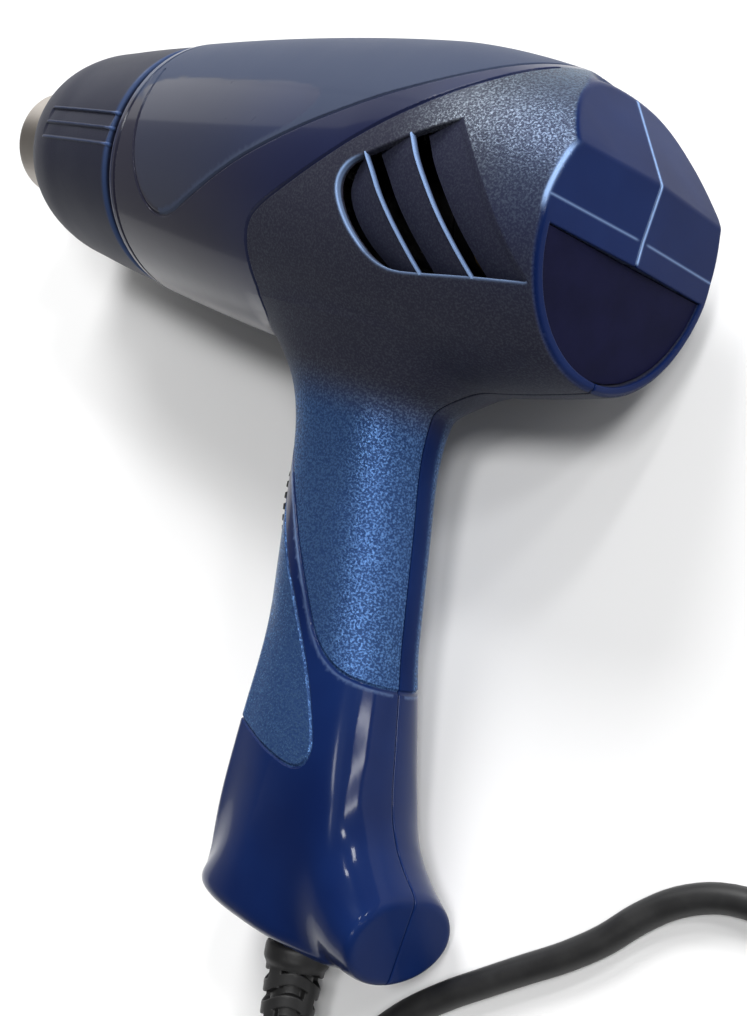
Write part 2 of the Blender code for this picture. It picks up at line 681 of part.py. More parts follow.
def build_plate(finish):
    """Build the bare plate that sits in the recess of the tail cap."""
    floor = BODY_LENGTH - PLATE_DEPTH - (BODY_REAR_RADIUS - PLATE_RIM) * math.tan(FACET_SWEEP)
    radius = BODY_REAR_RADIUS - PLATE_RIM - FIT
    plate = turned(((floor + FIT, radius), (floor + FIT + PLATE_THICKNESS, radius)))
    slice_off(plate, Vector((0, PLATE_TOP - FIT, 0)), Vector((0, 1, 0)))
    return node("rating_plate", plate, finish.plate)


def build_shield(finish):
    """Build the heat shield with its bayonet channels and the finger pads on its sides."""
    bore = [(SHIELD_OUTLINE[-1][0], SHIELD_BORE), (SHIELD_SEAT_FROM, SHIELD_BORE)]
    inner = [(along, radius - SHIELD_WALL) for along, radius in reversed(SHIELD_OUTLINE[2:-2])]
    front = SHIELD_OUTLINE[0][0]
    mouth = [(front + SHIELD_WALL, SHIELD_MOUTH + SHIELD_WALL), (front, SHIELD_MOUTH)]
    shield = turned(list(SHIELD_OUTLINE) + bore + inner + mouth, closed=True)
    shield = node("heat_shield", shield, finish.shield)
    channels = []
    play = math.radians(1)
    depth = SPIGOT_RADIUS + LUG_HEIGHT + FIT
    for side in (0, 1):
        middle = side * math.pi
        channels.append(arc_block(LUG_FROM - FIT, LUG_LENGTH + 2 * FIT, SHIELD_BORE - WALL, depth,
                                  middle - TWIST / 2, LUG_ARC + TWIST + 2 * play, 10))
        channels.append(arc_block(LUG_FROM - FIT, -LUG_FROM, SHIELD_BORE - WALL, depth,
                                  middle - TWIST, LUG_ARC + 2 * play, 6))
    cut(shield, *channels)
    pads = []
    for step in range(PAD_RIBS):
        height = (step - (PAD_RIBS - 1) / 2) * PAD_RIB_PITCH
        for side in (1, -1):
            rings = []
            for along, radius in (*SHIELD_OUTLINE[3:-2], (WALL, SHIELD_OUTLINE[-2][1])):
                out, deep = side * (radius + WALL), side * (radius - PAD_GROOVE_DEPTH)
                low, high = height - PAD_GROOVE / 2, height + PAD_GROOVE / 2
                rings.append([Vector((along, y, z))
                              for y, z in ((low, deep), (high, deep), (high, out), (low, out))])
            pads.append(loft(rings))
    cut(shield, *pads)
    shade(shield)
    return shield


def build_nozzle(finish):
    """Build the steel nozzle tube, its flange and the mica sleeve inside it."""
    inner = NOZZLE_RADIUS - NOZZLE_WALL
    outline = [(NOZZLE_TIP, NOZZLE_RADIUS), (NOZZLE_REAR, NOZZLE_RADIUS),
               (NOZZLE_REAR, inner), (NOZZLE_TIP, inner)]
    tube = node("nozzle_tube", turned(outline, ROUND, closed=True), finish.steel)
    seat = body_radius(FLANGE_AT) - WALL - FIT
    hole = NOZZLE_RADIUS + FIT
    collar = hole + FLANGE_COLLAR_WALL
    back = FLANGE_AT + FLANGE_THICKNESS
    outline = [(FLANGE_AT - FLANGE_COLLAR, hole), (FLANGE_AT - FLANGE_COLLAR, collar), (FLANGE_AT, collar),
               (FLANGE_AT, seat), (back, seat), (back, hole)]
    flange = node("nozzle_flange", turned(outline, ROUND, closed=True), finish.zinc)
    outer = inner - FIT
    outline = [(ELEMENT_FRONT - 2 * MM, outer), (NOZZLE_REAR, outer), (NOZZLE_REAR, outer - MICA_WALL),
               (ELEMENT_FRONT - 2 * MM, outer - MICA_WALL)]
    sleeve = node("mica_sleeve", turned(outline, ROUND, closed=True), finish.mica)
    return [tube, flange, sleeve]


def build_element(finish):
    """Build the heating element: crossed mica boards between two discs, wound with wire."""
    disc_radius = NOZZLE_RADIUS - NOZZLE_WALL - FIT - MICA_WALL - FIT
    half = MICA_THICKNESS / 2
    width = ELEMENT_BOARD_HALF_WIDTH
    front, rear = ELEMENT_FRONT + MICA_THICKNESS + FIT, ELEMENT_REAR - MICA_THICKNESS - FIT
    core = node("element_boards", block((front, -width, -half), (rear, width, half)), finish.mica)
    add(core, block((front, -half, -width), (rear, half, width)))
    low, high = MICA_THICKNESS * 1.5, disc_radius * 0.62
    discs = []
    for name, at in (("element_disc_front", ELEMENT_FRONT),
                     ("element_disc_rear", ELEMENT_REAR - MICA_THICKNESS)):
        disc = node(name, turned(((at, disc_radius), (at + MICA_THICKNESS, disc_radius))), finish.mica)
        windows = [block((at - WALL, min(low * a, high * a), min(low * b, high * b)),
                         (at + WALL, max(low * a, high * a), max(low * b, high * b)))
                   for a in (1, -1) for b in (1, -1)]
        discs.append(cut(disc, *windows))

    wire = HEATER_WIRE / 2
    radius = width + FIT + wire
    start, end = front + HEATER_MARGIN, rear - HEATER_MARGIN
    steps = HEATER_LOOPS * HEATER_SIDES
    points = []
    for step in range(steps + 1):
        angle = TURN * step / HEATER_SIDES
        points.append(Vector((start + (end - start) * step / steps,
                              radius * math.cos(angle), radius * math.sin(angle))))
    points.insert(0, points[0] - Vector((HEATER_WIRE, 0, 0)))
    points.append(points[-1] + Vector((HEATER_WIRE, 0, 0)))
    coil = tube_along("heating_coil", points, wire, 1, finish.wire)
    seat = half + FIT + CUTOUT_RADIUS
    cutout = rod(Vector((rear - CUTOUT_LENGTH, seat, seat)), Vector((rear - FIT, seat, seat)), CUTOUT_RADIUS)
    cutout = node("thermal_cutout", cutout, finish.nylon)
    return [core, *discs, coil, cutout]


def tube_along(name, points, radius, resolution, finish):
    """Return a round tube along points, as a curve with filled ends."""
    curve = bpy.data.curves.new(name, "CURVE")
    curve.dimensions = "3D"
    curve.bevel_depth = radius
    curve.bevel_resolution = resolution
    curve.use_fill_caps = True
    spline = curve.splines.new("POLY")
    spline.points.add(len(points) - 1)
    for target, point in zip(spline.points, points):
        target.co = (*point, 1)
    spline.use_smooth = True
    curve.materials.append(finish)
    made = bpy.data.objects.new(name, curve)
    bpy.context.collection.objects.link(made)
    return made


def build_fan(finish):
    """Build the fan wheel and the shaft, with their origins on the barrel's axis."""
    hub = [(FAN_AT, FAN_HUB_RADIUS), (FAN_AT + FAN_LENGTH, FAN_HUB_RADIUS),
           (FAN_AT + FAN_LENGTH, SHAFT_RADIUS + FIT), (FAN_AT, SHAFT_RADIUS + FIT)]
    wheel = node("fan_wheel", turned(hub, FAN_BLADES * 4, closed=True), finish.nylon)
    blades = []
    middle = FAN_AT + FAN_LENGTH / 2
    for number in range(FAN_BLADES):
        spin = Matrix.Rotation(TURN * number / FAN_BLADES, 3, "X")
        rings = []
        for share in (0, 0.5, 1):
            radius = FAN_HUB_RADIUS - FAN_BLADE + (FAN_RADIUS - FAN_HUB_RADIUS + FAN_BLADE) * share
            reach = FAN_LENGTH * (FAN_CHORD[0] + (FAN_CHORD[1] - FAN_CHORD[0]) * share) / 2
            pitch = FAN_PITCH[0] + (FAN_PITCH[1] - FAN_PITCH[0]) * share
            corners = [blade_corner(x * reach, y * FAN_BLADE / 2, pitch)
                       for x, y in ((-1, -1), (1, -1), (1, 1), (-1, 1))]
            rings.append([spin @ (Vector((middle, 0, radius)) + corner) for corner in corners])
        blades.append(loft(rings))
    add(wheel, *blades)
    shade(wheel)
    end = MOUNT_AT + MOTOR_LENGTH + END_CAP_LENGTH + 5 * FIT + BUSH_LENGTH * 3
    shaft = turned(((FAN_AT - WALL, SHAFT_RADIUS), (end, SHAFT_RADIUS)), SMALL_ROUND)
    shaft = node("motor_shaft", shaft, finish.zinc)
    return [wheel, shaft]


def blade_corner(chordwise, thickness, pitch):
    """Place a blade's corner by its pitch in degrees from the barrel's axis."""
    angle = math.radians(pitch)
    return Vector((chordwise * math.cos(angle) - thickness * math.sin(angle),
                   chordwise * math.sin(angle) + thickness * math.cos(angle), 0))


def build_motor(finish):
    """Build the motor, its bushes, the mount that carries it and the rectifier on its tail."""
    ring = body_radius(MOUNT_AT) - WALL - FIT
    bore = MOTOR_RADIUS + FIT
    hub = bore + MOUNT_VANE
    front = MOUNT_AT + BUSH_LENGTH + FIT
    mount_end = MOUNT_AT + MOUNT_LENGTH
    outline = [(MOUNT_AT, BUSH_RADIUS + FIT), (MOUNT_AT, hub), (mount_end, hub), (mount_end, bore),
               (front - FIT, bore), (front - FIT, BUSH_RADIUS + FIT)]
    mount = node("motor_mount", turned(outline, ROUND, closed=True), finish.black)
    outline = [(MOUNT_AT, ring), (mount_end, ring),
               (mount_end, ring - MOUNT_RING_WALL), (MOUNT_AT, ring - MOUNT_RING_WALL)]
    vanes = []
    for number in range(MOUNT_VANES):
        spin = Matrix.Rotation(TURN * number / MOUNT_VANES, 4, "X")
        vanes.append(block((MOUNT_AT + MM, -MOUNT_VANE / 2, hub - MM),
                           (mount_end - MM, MOUNT_VANE / 2, ring - MM), spin))
    add(mount, turned(outline, ROUND, closed=True))
    add(mount, *vanes)
    shade(mount)

    hole = SHAFT_RADIUS + BORE_CLEARANCE
    back = front + MOTOR_LENGTH
    can = node("motor_can", turned([(front, MOTOR_RADIUS), (back, MOTOR_RADIUS), (back, hole), (front, hole)],
                                   ROUND, closed=True), finish.zinc)
    cap_from, cap_to = back + FIT, back + FIT + END_CAP_LENGTH
    cap = node("motor_end_cap", turned([(cap_from, MOTOR_RADIUS - MM), (cap_to, MOTOR_RADIUS - MM),
                                        (cap_to, hole), (cap_from, hole)], ROUND, closed=True), finish.nylon)
    bushes = []
    for name, at in (("motor_bush_front", front - FIT - BUSH_LENGTH), ("motor_bush_rear", cap_to + FIT)):
        outline = ((at, BUSH_RADIUS), (at + BUSH_LENGTH, BUSH_RADIUS),
                   (at + BUSH_LENGTH, SHAFT_RADIUS + RUNNING_FIT), (at, SHAFT_RADIUS + RUNNING_FIT))
        bushes.append(node(name, turned(outline, SMALL_ROUND, closed=True), finish.brass))
    board_at = cap_to + FIT
    outline = [(board_at, BOARD_RADIUS), (board_at + BOARD_THICKNESS, BOARD_RADIUS),
               (board_at + BOARD_THICKNESS, BUSH_RADIUS + FIT), (board_at, BUSH_RADIUS + FIT)]
    board = node("rectifier_board", turned(outline, 24, closed=True), finish.board)
    diodes = []
    for number in range(4):
        spin = Matrix.Rotation(TURN * (number + 0.5) / 4, 4, "X")
        middle = Vector((board_at + BOARD_THICKNESS + FIT + DIODE_RADIUS,
                         (BOARD_RADIUS + BUSH_RADIUS) / 2, 0))
        reach = Vector((0, 0, DIODE_LENGTH / 2))
        start, end = spin @ (middle - reach), spin @ (middle + reach)
        diodes.append(node(f"rectifier_diode_{number + 1}", rod(start, end, DIODE_RADIUS, 10), finish.black))
    return [mount, can, cap, board, *bushes, *diodes]


def build_switch(finish):
    """Build the slide knob, the switch behind it and its lever, with the capacitor and tabs."""
    frame = switch_frame()
    travel = SWITCH_STEP * SWITCH_STEPS
    rest = -travel / 2
    knob = block((rest - KNOB.x / 2, FIT, -KNOB.z / 2), (rest + KNOB.x / 2, KNOB.y, KNOB.z / 2), frame)
    knob = node("switch_slider", knob, finish.black)
    shoe_back = -SHOE_DEPTH - SHOE_THICKNESS
    add(knob, block((rest - NECK.x / 2, -SHOE_DEPTH - SHOE_THICKNESS / 2, -NECK.z / 2),
                    (rest + NECK.x / 2, KNOB.y / 2, NECK.z / 2), frame))
    add(knob, block((rest - SHOE_LENGTH / 2, shoe_back, -SHOE_WIDTH / 2),
                    (rest + SHOE_LENGTH / 2, -SHOE_DEPTH, SHOE_WIDTH / 2), frame))
    grooves = []
    for step in (-1, 0, 1):
        place = rest + step * KNOB.x / 4
        grooves.append(block((place - KNOB_GROOVE, KNOB.y - KNOB_GROOVE, -KNOB.z),
                             (place + KNOB_GROOVE, KNOB.y + KNOB_GROOVE, KNOB.z), frame))
    cut(knob, *grooves)
    face = shoe_back - FIT
    back = face - SWITCH_BODY.y
    body = block((-SWITCH_BODY.x / 2, back, -SWITCH_BODY.z / 2),
                 (SWITCH_BODY.x / 2, face, SWITCH_BODY.z / 2), frame)
    body = node("switch_body", body, finish.black)
    run = (LEVER.x + travel) / 2 + FIT
    cut(body, block((-run, face - LEVER.y, -LEVER.z / 2 - FIT), (run, face + WALL, LEVER.z / 2 + FIT), frame))
    lever = block((rest - LEVER.x / 2, face - LEVER.y + FIT, -LEVER.z / 2),
                  (rest + LEVER.x / 2, face, LEVER.z / 2), frame)
    lever = node("switch_lever", lever, finish.nylon)
    back -= FIT
    tabs = []
    middle = SWITCH_BODY.x / 3
    for name, across in (("switch_tab_left", SWITCH_BODY.z / 4), ("switch_tab_right", -SWITCH_BODY.z / 4)):
        tab = block((middle - TAB.x / 2, back - TAB.y, across - TAB.z / 2),
                    (middle + TAB.x / 2, back, across + TAB.z / 2), frame)
        tabs.append(node(name, tab, finish.brass))
    low = -SWITCH_BODY.x / 2
    capacitor = block((low, back - CAPACITOR.y, -CAPACITOR.z / 2),
                      (low + CAPACITOR.x, back, CAPACITOR.z / 2), frame)
    capacitor = node("suppression_capacitor", capacitor, finish.nylon)
    return [knob, body, lever, *tabs, capacitor]


def build_entry(finish):
    """Build the strain relief, the lead's end inside it, the clamp and the terminal block."""
    entry, out = entry_axis()
    side = Vector((-out.y, out.x, 0))
    turn = Matrix((out, side, out.cross(side))).transposed().to_4x4()
    frame = Matrix.Translation(entry) @ turn
    gap = FIT + COLLAR_RADIUS * math.tan(ENTRY_LEAN)
    hole = CORD_RADIUS + FIT
    inner_end = -WALL - 2 * gap
    outline = [(inner_end - NECK_FLANGE, NECK_RADIUS + NECK_FLANGE), (inner_end, NECK_RADIUS + NECK_FLANGE),
               (inner_end, NECK_RADIUS), (gap, NECK_RADIUS), (gap, COLLAR_RADIUS),
               (gap + COLLAR_LENGTH - MM, COLLAR_RADIUS), (gap + COLLAR_LENGTH, COLLAR_RADIUS - MM)]
    top = gap + COLLAR_LENGTH
    for rib in range(SLEEVE_RIBS):
        for share, groove in ((0, SLEEVE_GROOVE), (0.4, SLEEVE_GROOVE), (0.45, 0), (0.95, 0)):
            along = (rib + share) / SLEEVE_RIBS
            radius = SLEEVE_TOP_RADIUS + (SLEEVE_END_RADIUS - SLEEVE_TOP_RADIUS) * along - groove
            outline.append((top + SLEEVE_LENGTH * along, radius))
    end = top + SLEEVE_LENGTH
    outline += [(end, SLEEVE_END_RADIUS), (end, hole), (outline[0][0], hole)]
    build = turned(outline, SMALL_ROUND, closed=True)
    bmesh.ops.transform(build, matrix=frame, verts=build.verts)
    relief = node("strain_relief", build, finish.rubber)
    middle = clamp_centre()
    start = middle - out * CLAMP.y
    jacket = node("lead_inner_end", rod(start, frame @ Vector((end, 0, 0)), CORD_RADIUS), finish.rubber)
    clamp = node("cord_clamp", block((middle.x - CLAMP.x / 2, middle.y - CLAMP.y / 2, FIT / 2),
                                     (middle.x + CLAMP.x / 2, middle.y + CLAMP.y / 2, CLAMP.z)), finish.black)
    holes = [upright(place.x, place.y, 0, CLAMP.z + FIT, CLAMP_SCREW_RADIUS + FIT)
             for place in clamp_screw_places()]
    cut(clamp, rod(start, middle + out * CLAMP.y, CORD_RADIUS + FIT), *holes)
    block_at = terminal_centre()
    size = TERMINAL_BLOCK / 2
    terminals = node("terminal_block", block(block_at - size, block_at + size), finish.nylon)
    wires = build_wires(finish, start, block_at, size)
    return [relief, jacket, clamp, terminals, *wires], frame @ Vector((end, 0, 0)), out


def build_wires(finish, start, block_at, size):
    """Build the two cores that run from the lead's end to the terminal block."""
    cores = []
    angles = [TURN * step / CORE_SIDES for step in range(CORE_SIDES)]
    ring = [CORE_RADIUS * Vector((math.cos(angle), 0, math.sin(angle))) for angle in angles]
    for name, side in (("mains_core_live", 1), ("mains_core_neutral", -1)):
        top = Vector((block_at.x + side * size.x * 0.4, block_at.y - size.y - FIT, side * CORE_REACH))
        low = start + Vector((0, FIT + CORD_RADIUS * math.tan(ENTRY_LEAN), side * CORE_REACH))
        rings = []
        for step in range(CORE_STEPS + 1):
            share = step / CORE_STEPS
            ease = share * share * (3 - 2 * share)
            centre = Vector((low.x + (top.x - low.x) * ease, low.y + (top.y - low.y) * share, low.z))
            rings.append([centre + spoke for spoke in ring])
        cores.append(node(name, loft(rings), finish.brass))
    return cores


def centre_of_mass(pieces):
    """Return the volume centre of the given pieces, taken as equally dense."""
    total = 0.0
    moment = Vector()
    for piece in pieces:
        build = bmesh.new()
        build.from_mesh(piece.data)
        bmesh.ops.triangulate(build, faces=build.faces)
        for face in build.faces:
            a, b, c = (vert.co for vert in face.verts)
            volume = a.dot(b.cross(c)) / 6
            total += volume
            moment += volume * (a + b + c) / 4
        build.free()
    return moment / total


def lay_down(tool, shell_pieces, heavy_pieces):
    """Turn the tool so that the hull face under its centre of mass lies on the floor."""
    weight = centre_of_mass(heavy_pieces)
    hull = bmesh.new()
    for piece in shell_pieces:
        hull.from_mesh(piece.data)
    made = bmesh.ops.convex_hull(hull, input=hull.verts)
    faces = [item for item in made["geom"] if isinstance(item, bmesh.types.BMFace)]
    bmesh.ops.triangulate(hull, faces=[face for face in faces if len(face.verts) > 3])
    floor = None
    for face in hull.faces:
        normal = face.normal
        if normal.z > -0.8 or face not in hull.faces:
            continue
        corners = [vert.co for vert in face.verts]
        foot = weight - normal * (weight - corners[0]).dot(normal)
        inside = all((b - a).cross(foot - a).dot(normal) >= 0
                     for a, b in zip(corners, corners[1:] + corners[:1]))
        if inside and (floor is None or face.calc_area() > floor[2]):
            floor = (normal.copy(), corners[0].copy(), face.calc_area())
    normal, point, _ = floor
    hull.free()
    turn = normal.rotation_difference(Vector((0, 0, -1))).to_matrix().to_4x4()
    corners = [turn @ vert.co for piece in shell_pieces for vert in piece.data.vertices]
    low = Vector(map(min, zip(*corners)))
    high = Vector(map(max, zip(*corners)))
    shift = Vector((-(low.x + high.x) / 2, -(low.y + high.y) / 2, -low.z))
    tool.matrix_world = Matrix.Translation(shift) @ turn
    return tool.matrix_world


def smooth_through(points, spacing):
    """Return evenly spaced points on a smooth curve through the given ones."""
    dense = []
    padded = [points[0] * 2 - points[1]] + list(points) + [points[-1] * 2 - points[-2]]
    for a, b, c, d in zip(padded, padded[1:], padded[2:], padded[3:]):
        for step in range(12):
            t = step / 12
            dense.append(0.5 * (2 * b + (c - a) * t + (2 * a - 5 * b + 4 * c - d) * t * t
                                + (3 * b - a - 3 * c + d) * t ** 3))
    dense.append(points[-1])
    lengths = [0.0]
    for a, b in zip(dense, dense[1:]):
        lengths.append(lengths[-1] + (b - a).length)
    count = round(lengths[-1] / spacing)
    result = []
    index = 0
    for step in range(count + 1):
        wanted = lengths[-1] * step / count
        while index < len(lengths) - 2 and lengths[index + 1] < wanted:
            index += 1
        share = (wanted - lengths[index]) / (lengths[index + 1] - lengths[index])
        result.append(dense[index].lerp(dense[index + 1], min(1, share)))
    return result, lengths[-1]


def coil_points(start, heading, length):
    """Return the lead's clockwise coil: in along the floor, up a layer, and out again over it."""
    turns = length / (TURN * COIL_MEAN_RADIUS)
    half_turn = 0.5
    reversal = turns / 2
    outer = COIL_MEAN_RADIUS + COIL_PITCH * reversal / 2
    centre = start + outer * Vector((math.sin(heading), -math.cos(heading), 0))
    points = []
    for step in range(round(turns * COIL_STEPS) + 1):
        turned_by = step / COIL_STEPS
        radius = outer - COIL_PITCH * (reversal - abs(turned_by - reversal))
        climb = min(1, max(0, (turned_by - reversal) / half_turn + 0.5))
        angle = heading + TURN / 4 - TURN * turned_by
        spoke = Vector((math.cos(angle), math.sin(angle), 0))
        points.append(centre + radius * spoke + Vector((0, 0, COIL_PITCH * climb)))
    return points


def self_gap(points, radius):
    """Return the least gap between stretches of a tube that aren't neighbours along it."""
    dense = [a.lerp(b, step / 3) for a, b in zip(points, points[1:]) for step in range(3)]
    lengths = [0.0]
    for a, b in zip(dense, dense[1:]):
        lengths.append(lengths[-1] + (b - a).length)
    least = math.inf
    for i, a in enumerate(dense):
        for j in range(i + 1, len(dense)):
            if lengths[j] - lengths[i] > 8 * radius:
                least = min(least, (a - dense[j]).length)
    return least - 2 * radius


def build_lead(finish, exit_point, out):
    """Lay the mains lead on the floor, wind up what is left of it, and add its plug."""
    rest = CORD_RADIUS
    start = exit_point + out * FIT
    route = [start + out * 2 * CORD_RADIUS]
    for offset in LEAD_ROUTE:
        route.append(Vector((exit_point.x + offset.x, exit_point.y + offset.y, rest + offset.z)))
    points, lead_length = smooth_through(route, LEAD_SPACING)
    points.insert(0, start)
    lead_length += 2 * CORD_RADIUS
    lead = tube_along("cord_lead", points, CORD_RADIUS, 2, finish.rubber)
    run = (points[-1] - points[-2]).normalized()
    heading = math.atan2(run.y, run.x)
    begin = points[-1] + run * FIT
    coil_length = LEAD_LENGTH - lead_length - TAIL_LENGTH
    wound = coil_points(begin + run * 2 * CORD_RADIUS, heading, coil_length)
    last = (wound[-1] - wound[-2]).normalized()
    wound = [begin] + wound + [wound[-1] + last * 2 * CORD_RADIUS]
    print("coil self gap mm", round(self_gap(wound, CORD_RADIUS) / MM, 3))
    coil = tube_along("cord_coil", wound, CORD_RADIUS, 1, finish.rubber)
    tail_start = wound[-1] + last * FIT
    plug_mouth = tail_start + last * TAIL_LENGTH
    plug_mouth.z = PLUG_HALF_HEIGHT
    near, far = tail_start + last * 2 * CORD_RADIUS, plug_mouth - last * 2 * CORD_RADIUS
    tail_points = [tail_start]
    for step in range(5):
        place = near.lerp(far, step / 4)
        place.z -= TAIL_SAG * math.sin(math.pi * step / 4)
        tail_points.append(place)
    tail_points.append(plug_mouth)
    tail = tube_along("cord_tail", tail_points, CORD_RADIUS, 2, finish.rubber)
    print("lead lengths m", round(lead_length, 4), round(coil_length, 4), round(TAIL_LENGTH, 4))
    return [lead, coil, tail] + build_plug(finish, plug_mouth, last)


def build_plug(finish, mouth, run):
    """Build the two-pin contour plug at the lead's end, lying flat on the floor."""
    run = Vector((run.x, run.y, 0)).normalized()
    across = Vector((-run.y, run.x, 0))
    up = Vector((0, 0, 1))
    frame = Matrix.Translation(mouth) @ Matrix((run, across, up)).transposed().to_4x4()
    rings = []
    for along, wide, high in PLUG_SECTIONS:
        angles = [TURN * step / PLUG_SIDES for step in range(PLUG_SIDES)]
        rings.append([frame @ Vector((FIT + along, wide * math.cos(angle), high * math.sin(angle)))
                      for angle in angles])
    body = node("plug_body", loft(rings), finish.black)
    face = 2 * FIT + PLUG_SECTIONS[-1][0]
    outline = ((face, PIN_RADIUS), (face + PIN_LENGTH - MM, PIN_RADIUS), (face + PIN_LENGTH, PIN_RADIUS - MM))
    pins = []
    for name, side in (("plug_pin_left", 1), ("plug_pin_right", -1)):
        pin = turned(outline, PIN_SIDES)
        seat = frame @ Matrix.Translation((0, side * PIN_SPACING / 2, 0))
        bmesh.ops.transform(pin, matrix=seat, verts=pin.verts)
        pins.append(node(name, pin, finish.brass))
    return [body, *pins]


def main():
    """Build the whole tool, lay it down and print the matrix of its rest."""
    clear_scene()
    finish = Finish()
    housing = build_housing(finish)
    screws = build_screws(finish)
    plate = build_plate(finish)
    shield = build_shield(finish)
    nozzle = build_nozzle(finish)
    element = build_element(finish)
    fan = build_fan(finish)
    motor = build_motor(finish)
    switch = build_switch(finish)
    entry, exit_point, out = build_entry(finish)
    tool = bpy.data.objects.new("tool", None)
    bpy.context.collection.objects.link(tool)
    outside = housing + [shield, nozzle[0], entry[0], switch[0]]
    heavy = housing + [shield, nozzle[0], nozzle[1], fan[0], motor[1], switch[1]]
    place = lay_down(tool, outside, heavy)
    for piece in housing + screws + [plate, shield] + nozzle + element + fan + motor + switch + entry:
        piece.parent = tool
    build_lead(finish, place @ exit_point, place.to_3x3() @ out)
    print("rest matrix", [[round(value, 6) for value in row] for row in place])


main()
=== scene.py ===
"""Looks of the hot air tool: fine surfaces, finishes, floor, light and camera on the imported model.

The tool is shaped in its own working frame, in millimetres: X runs along the barrel with the nozzle
towards -X, Y is the tool's up, Z is its left side, and the barrel's axis is Y = Z = 0. REST then lays
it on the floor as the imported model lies. Moulded pieces are forms given by a signed distance. They are
meshed by a surface net, settled onto the form and refined along their creases.
"""

import functools
import itertools
import logging
import math
from dataclasses import dataclass
from enum import Enum
from typing import Callable, Sequence

import bpy
import numpy as np
from mathutils import Matrix, Vector


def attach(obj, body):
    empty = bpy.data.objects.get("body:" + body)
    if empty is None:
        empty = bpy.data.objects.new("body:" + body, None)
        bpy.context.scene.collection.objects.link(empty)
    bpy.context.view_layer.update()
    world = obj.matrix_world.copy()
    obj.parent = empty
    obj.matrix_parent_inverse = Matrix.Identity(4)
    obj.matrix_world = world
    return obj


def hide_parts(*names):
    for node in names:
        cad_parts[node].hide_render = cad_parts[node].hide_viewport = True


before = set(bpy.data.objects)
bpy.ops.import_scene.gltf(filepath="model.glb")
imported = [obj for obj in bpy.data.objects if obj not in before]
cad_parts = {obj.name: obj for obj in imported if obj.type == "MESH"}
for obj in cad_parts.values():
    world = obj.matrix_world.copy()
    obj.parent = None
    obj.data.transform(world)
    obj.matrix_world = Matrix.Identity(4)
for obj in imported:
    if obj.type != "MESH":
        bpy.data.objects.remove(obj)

log = logging.getLogger("hot_air_tool")

Array = np.ndarray
Distance = Callable[[Array], Array]
Colour = tuple[float, float, float]

MM = 0.001
TINY = 1e-9
REST = np.array((
    (0.998748, -0.004011, -0.049862, -0.039266),
    (-0.004011, 0.98715, -0.159744, 0.09045),
    (0.049862, 0.159744, 0.985898, 0.038865),
))


def laid(points: Array) -> Array:
    """Put points of the tool's frame, in millimetres, where the tool lies, in metres."""
    return np.asarray(points, float) * MM @ REST[:, :3].T + REST[:, 3]


def turned_to_rest(directions: Array) -> Array:
    """Turn directions of the tool's frame to where the tool lies."""
    return np.asarray(directions, float) @ REST[:, :3].T


# Forms


def greatest(*values: Array) -> Array:
    """Greatest of several distances, for what lies in all of the forms."""
    return functools.reduce(np.maximum, values)


def least(*values: Array) -> Array:
    """Least of several distances, for what lies in any of the forms."""
    return functools.reduce(np.minimum, values)


def box(*spans: tuple[Array, float]) -> Array:
    """Distance to a block, from how far a point is off its middle and half its size, each way."""
    return greatest(*(np.abs(off) - half for off, half in spans))


def oval(a: Array, b: Array, share: Array) -> Array:
    """Distance to an oval column, from offsets of its middle and the share of the way to its skin."""
    return np.hypot(a, b) * (1 - 1 / np.maximum(share, 1e-3))


def soft_max(a: Array, b: Array, reach: float) -> Array:
    """Greater of two distances, rounded over a reach in millimetres."""
    overlap = np.maximum(reach - np.abs(a - b), 0) / reach
    return np.maximum(a, b) + overlap * overlap * reach / 4


def soft_min(a: Array, b: Array, reach: float) -> Array:
    """Lesser of two distances, rounded over a reach in millimetres."""
    return -soft_max(-a, -b, reach)


def ramp(value: Array, low: float, high: float) -> Array:
    """Smooth share from 0 at low to 1 at high."""
    share = np.clip((value - low) / (high - low), 0, 1)
    return share * share * (3 - 2 * share)


def hump(off: Array, half: float) -> Array:
    """Round ridge of height 1 and a half width."""
    return np.clip(1 - (off / half) ** 2, 0, None)


def glow(off: Array, width: float) -> Array:
    """Share of 1 on a line, which fades over a width."""
    return np.exp(-(off / width) ** 2)


def crown(y: Array, z: Array) -> Array:
    """Share of 1 along the barrel's top, 0 from its sides down."""
    return np.clip(y / np.maximum(np.hypot(y, z), 1e-6), 0, 1)


def smooth_row(places: Sequence[float], values: Sequence[float]) -> Distance:
    """Make a smooth function through a row of values.

    Args:
        places: rising places of the values.
        values: the value at each place.

    Returns:
        A function of an array of places, level beyond the ends.
    """
    x, y = np.array(places, float), np.array(values, float)
    rises = np.diff(y) / np.diff(x)
    slopes = np.concatenate((rises[:1], (rises[:-1] + rises[1:]) / 2, rises[-1:]))
    slopes[1:-1][rises[:-1] * rises[1:] <= 0] = 0
    t, step = np.linspace(0, 1, 24, endpoint=False), np.diff(x)[:, None]
    rows = ((2 * t ** 3 - 3 * t ** 2 + 1) * y[:-1, None] + (t ** 3 - 2 * t ** 2 + t) * step * slopes[:-1, None]
            + (3 * t ** 2 - 2 * t ** 3) * y[1:, None] + (t ** 3 - t ** 2) * step * slopes[1:, None])
    table_x, table_y = np.append(x[:-1, None] + t * step, x[-1]), np.append(rows, y[-1])
    return lambda place: np.interp(place, table_x, table_y)


@dataclass(frozen=True)
class Axis:
    """A line on the side view that a piece follows: a place on it and its direction."""

    at: tuple[float, float]
    run: tuple[float, float]

    def read(self, p: Array) -> tuple[Array, Array]:
        """How far points lie along the line, and to its left."""
        dx, dy = p[:, 0] - self.at[0], p[:, 1] - self.at[1]
        return dx * self.run[0] + dy * self.run[1], dy * self.run[0] - dx * self.run[1]


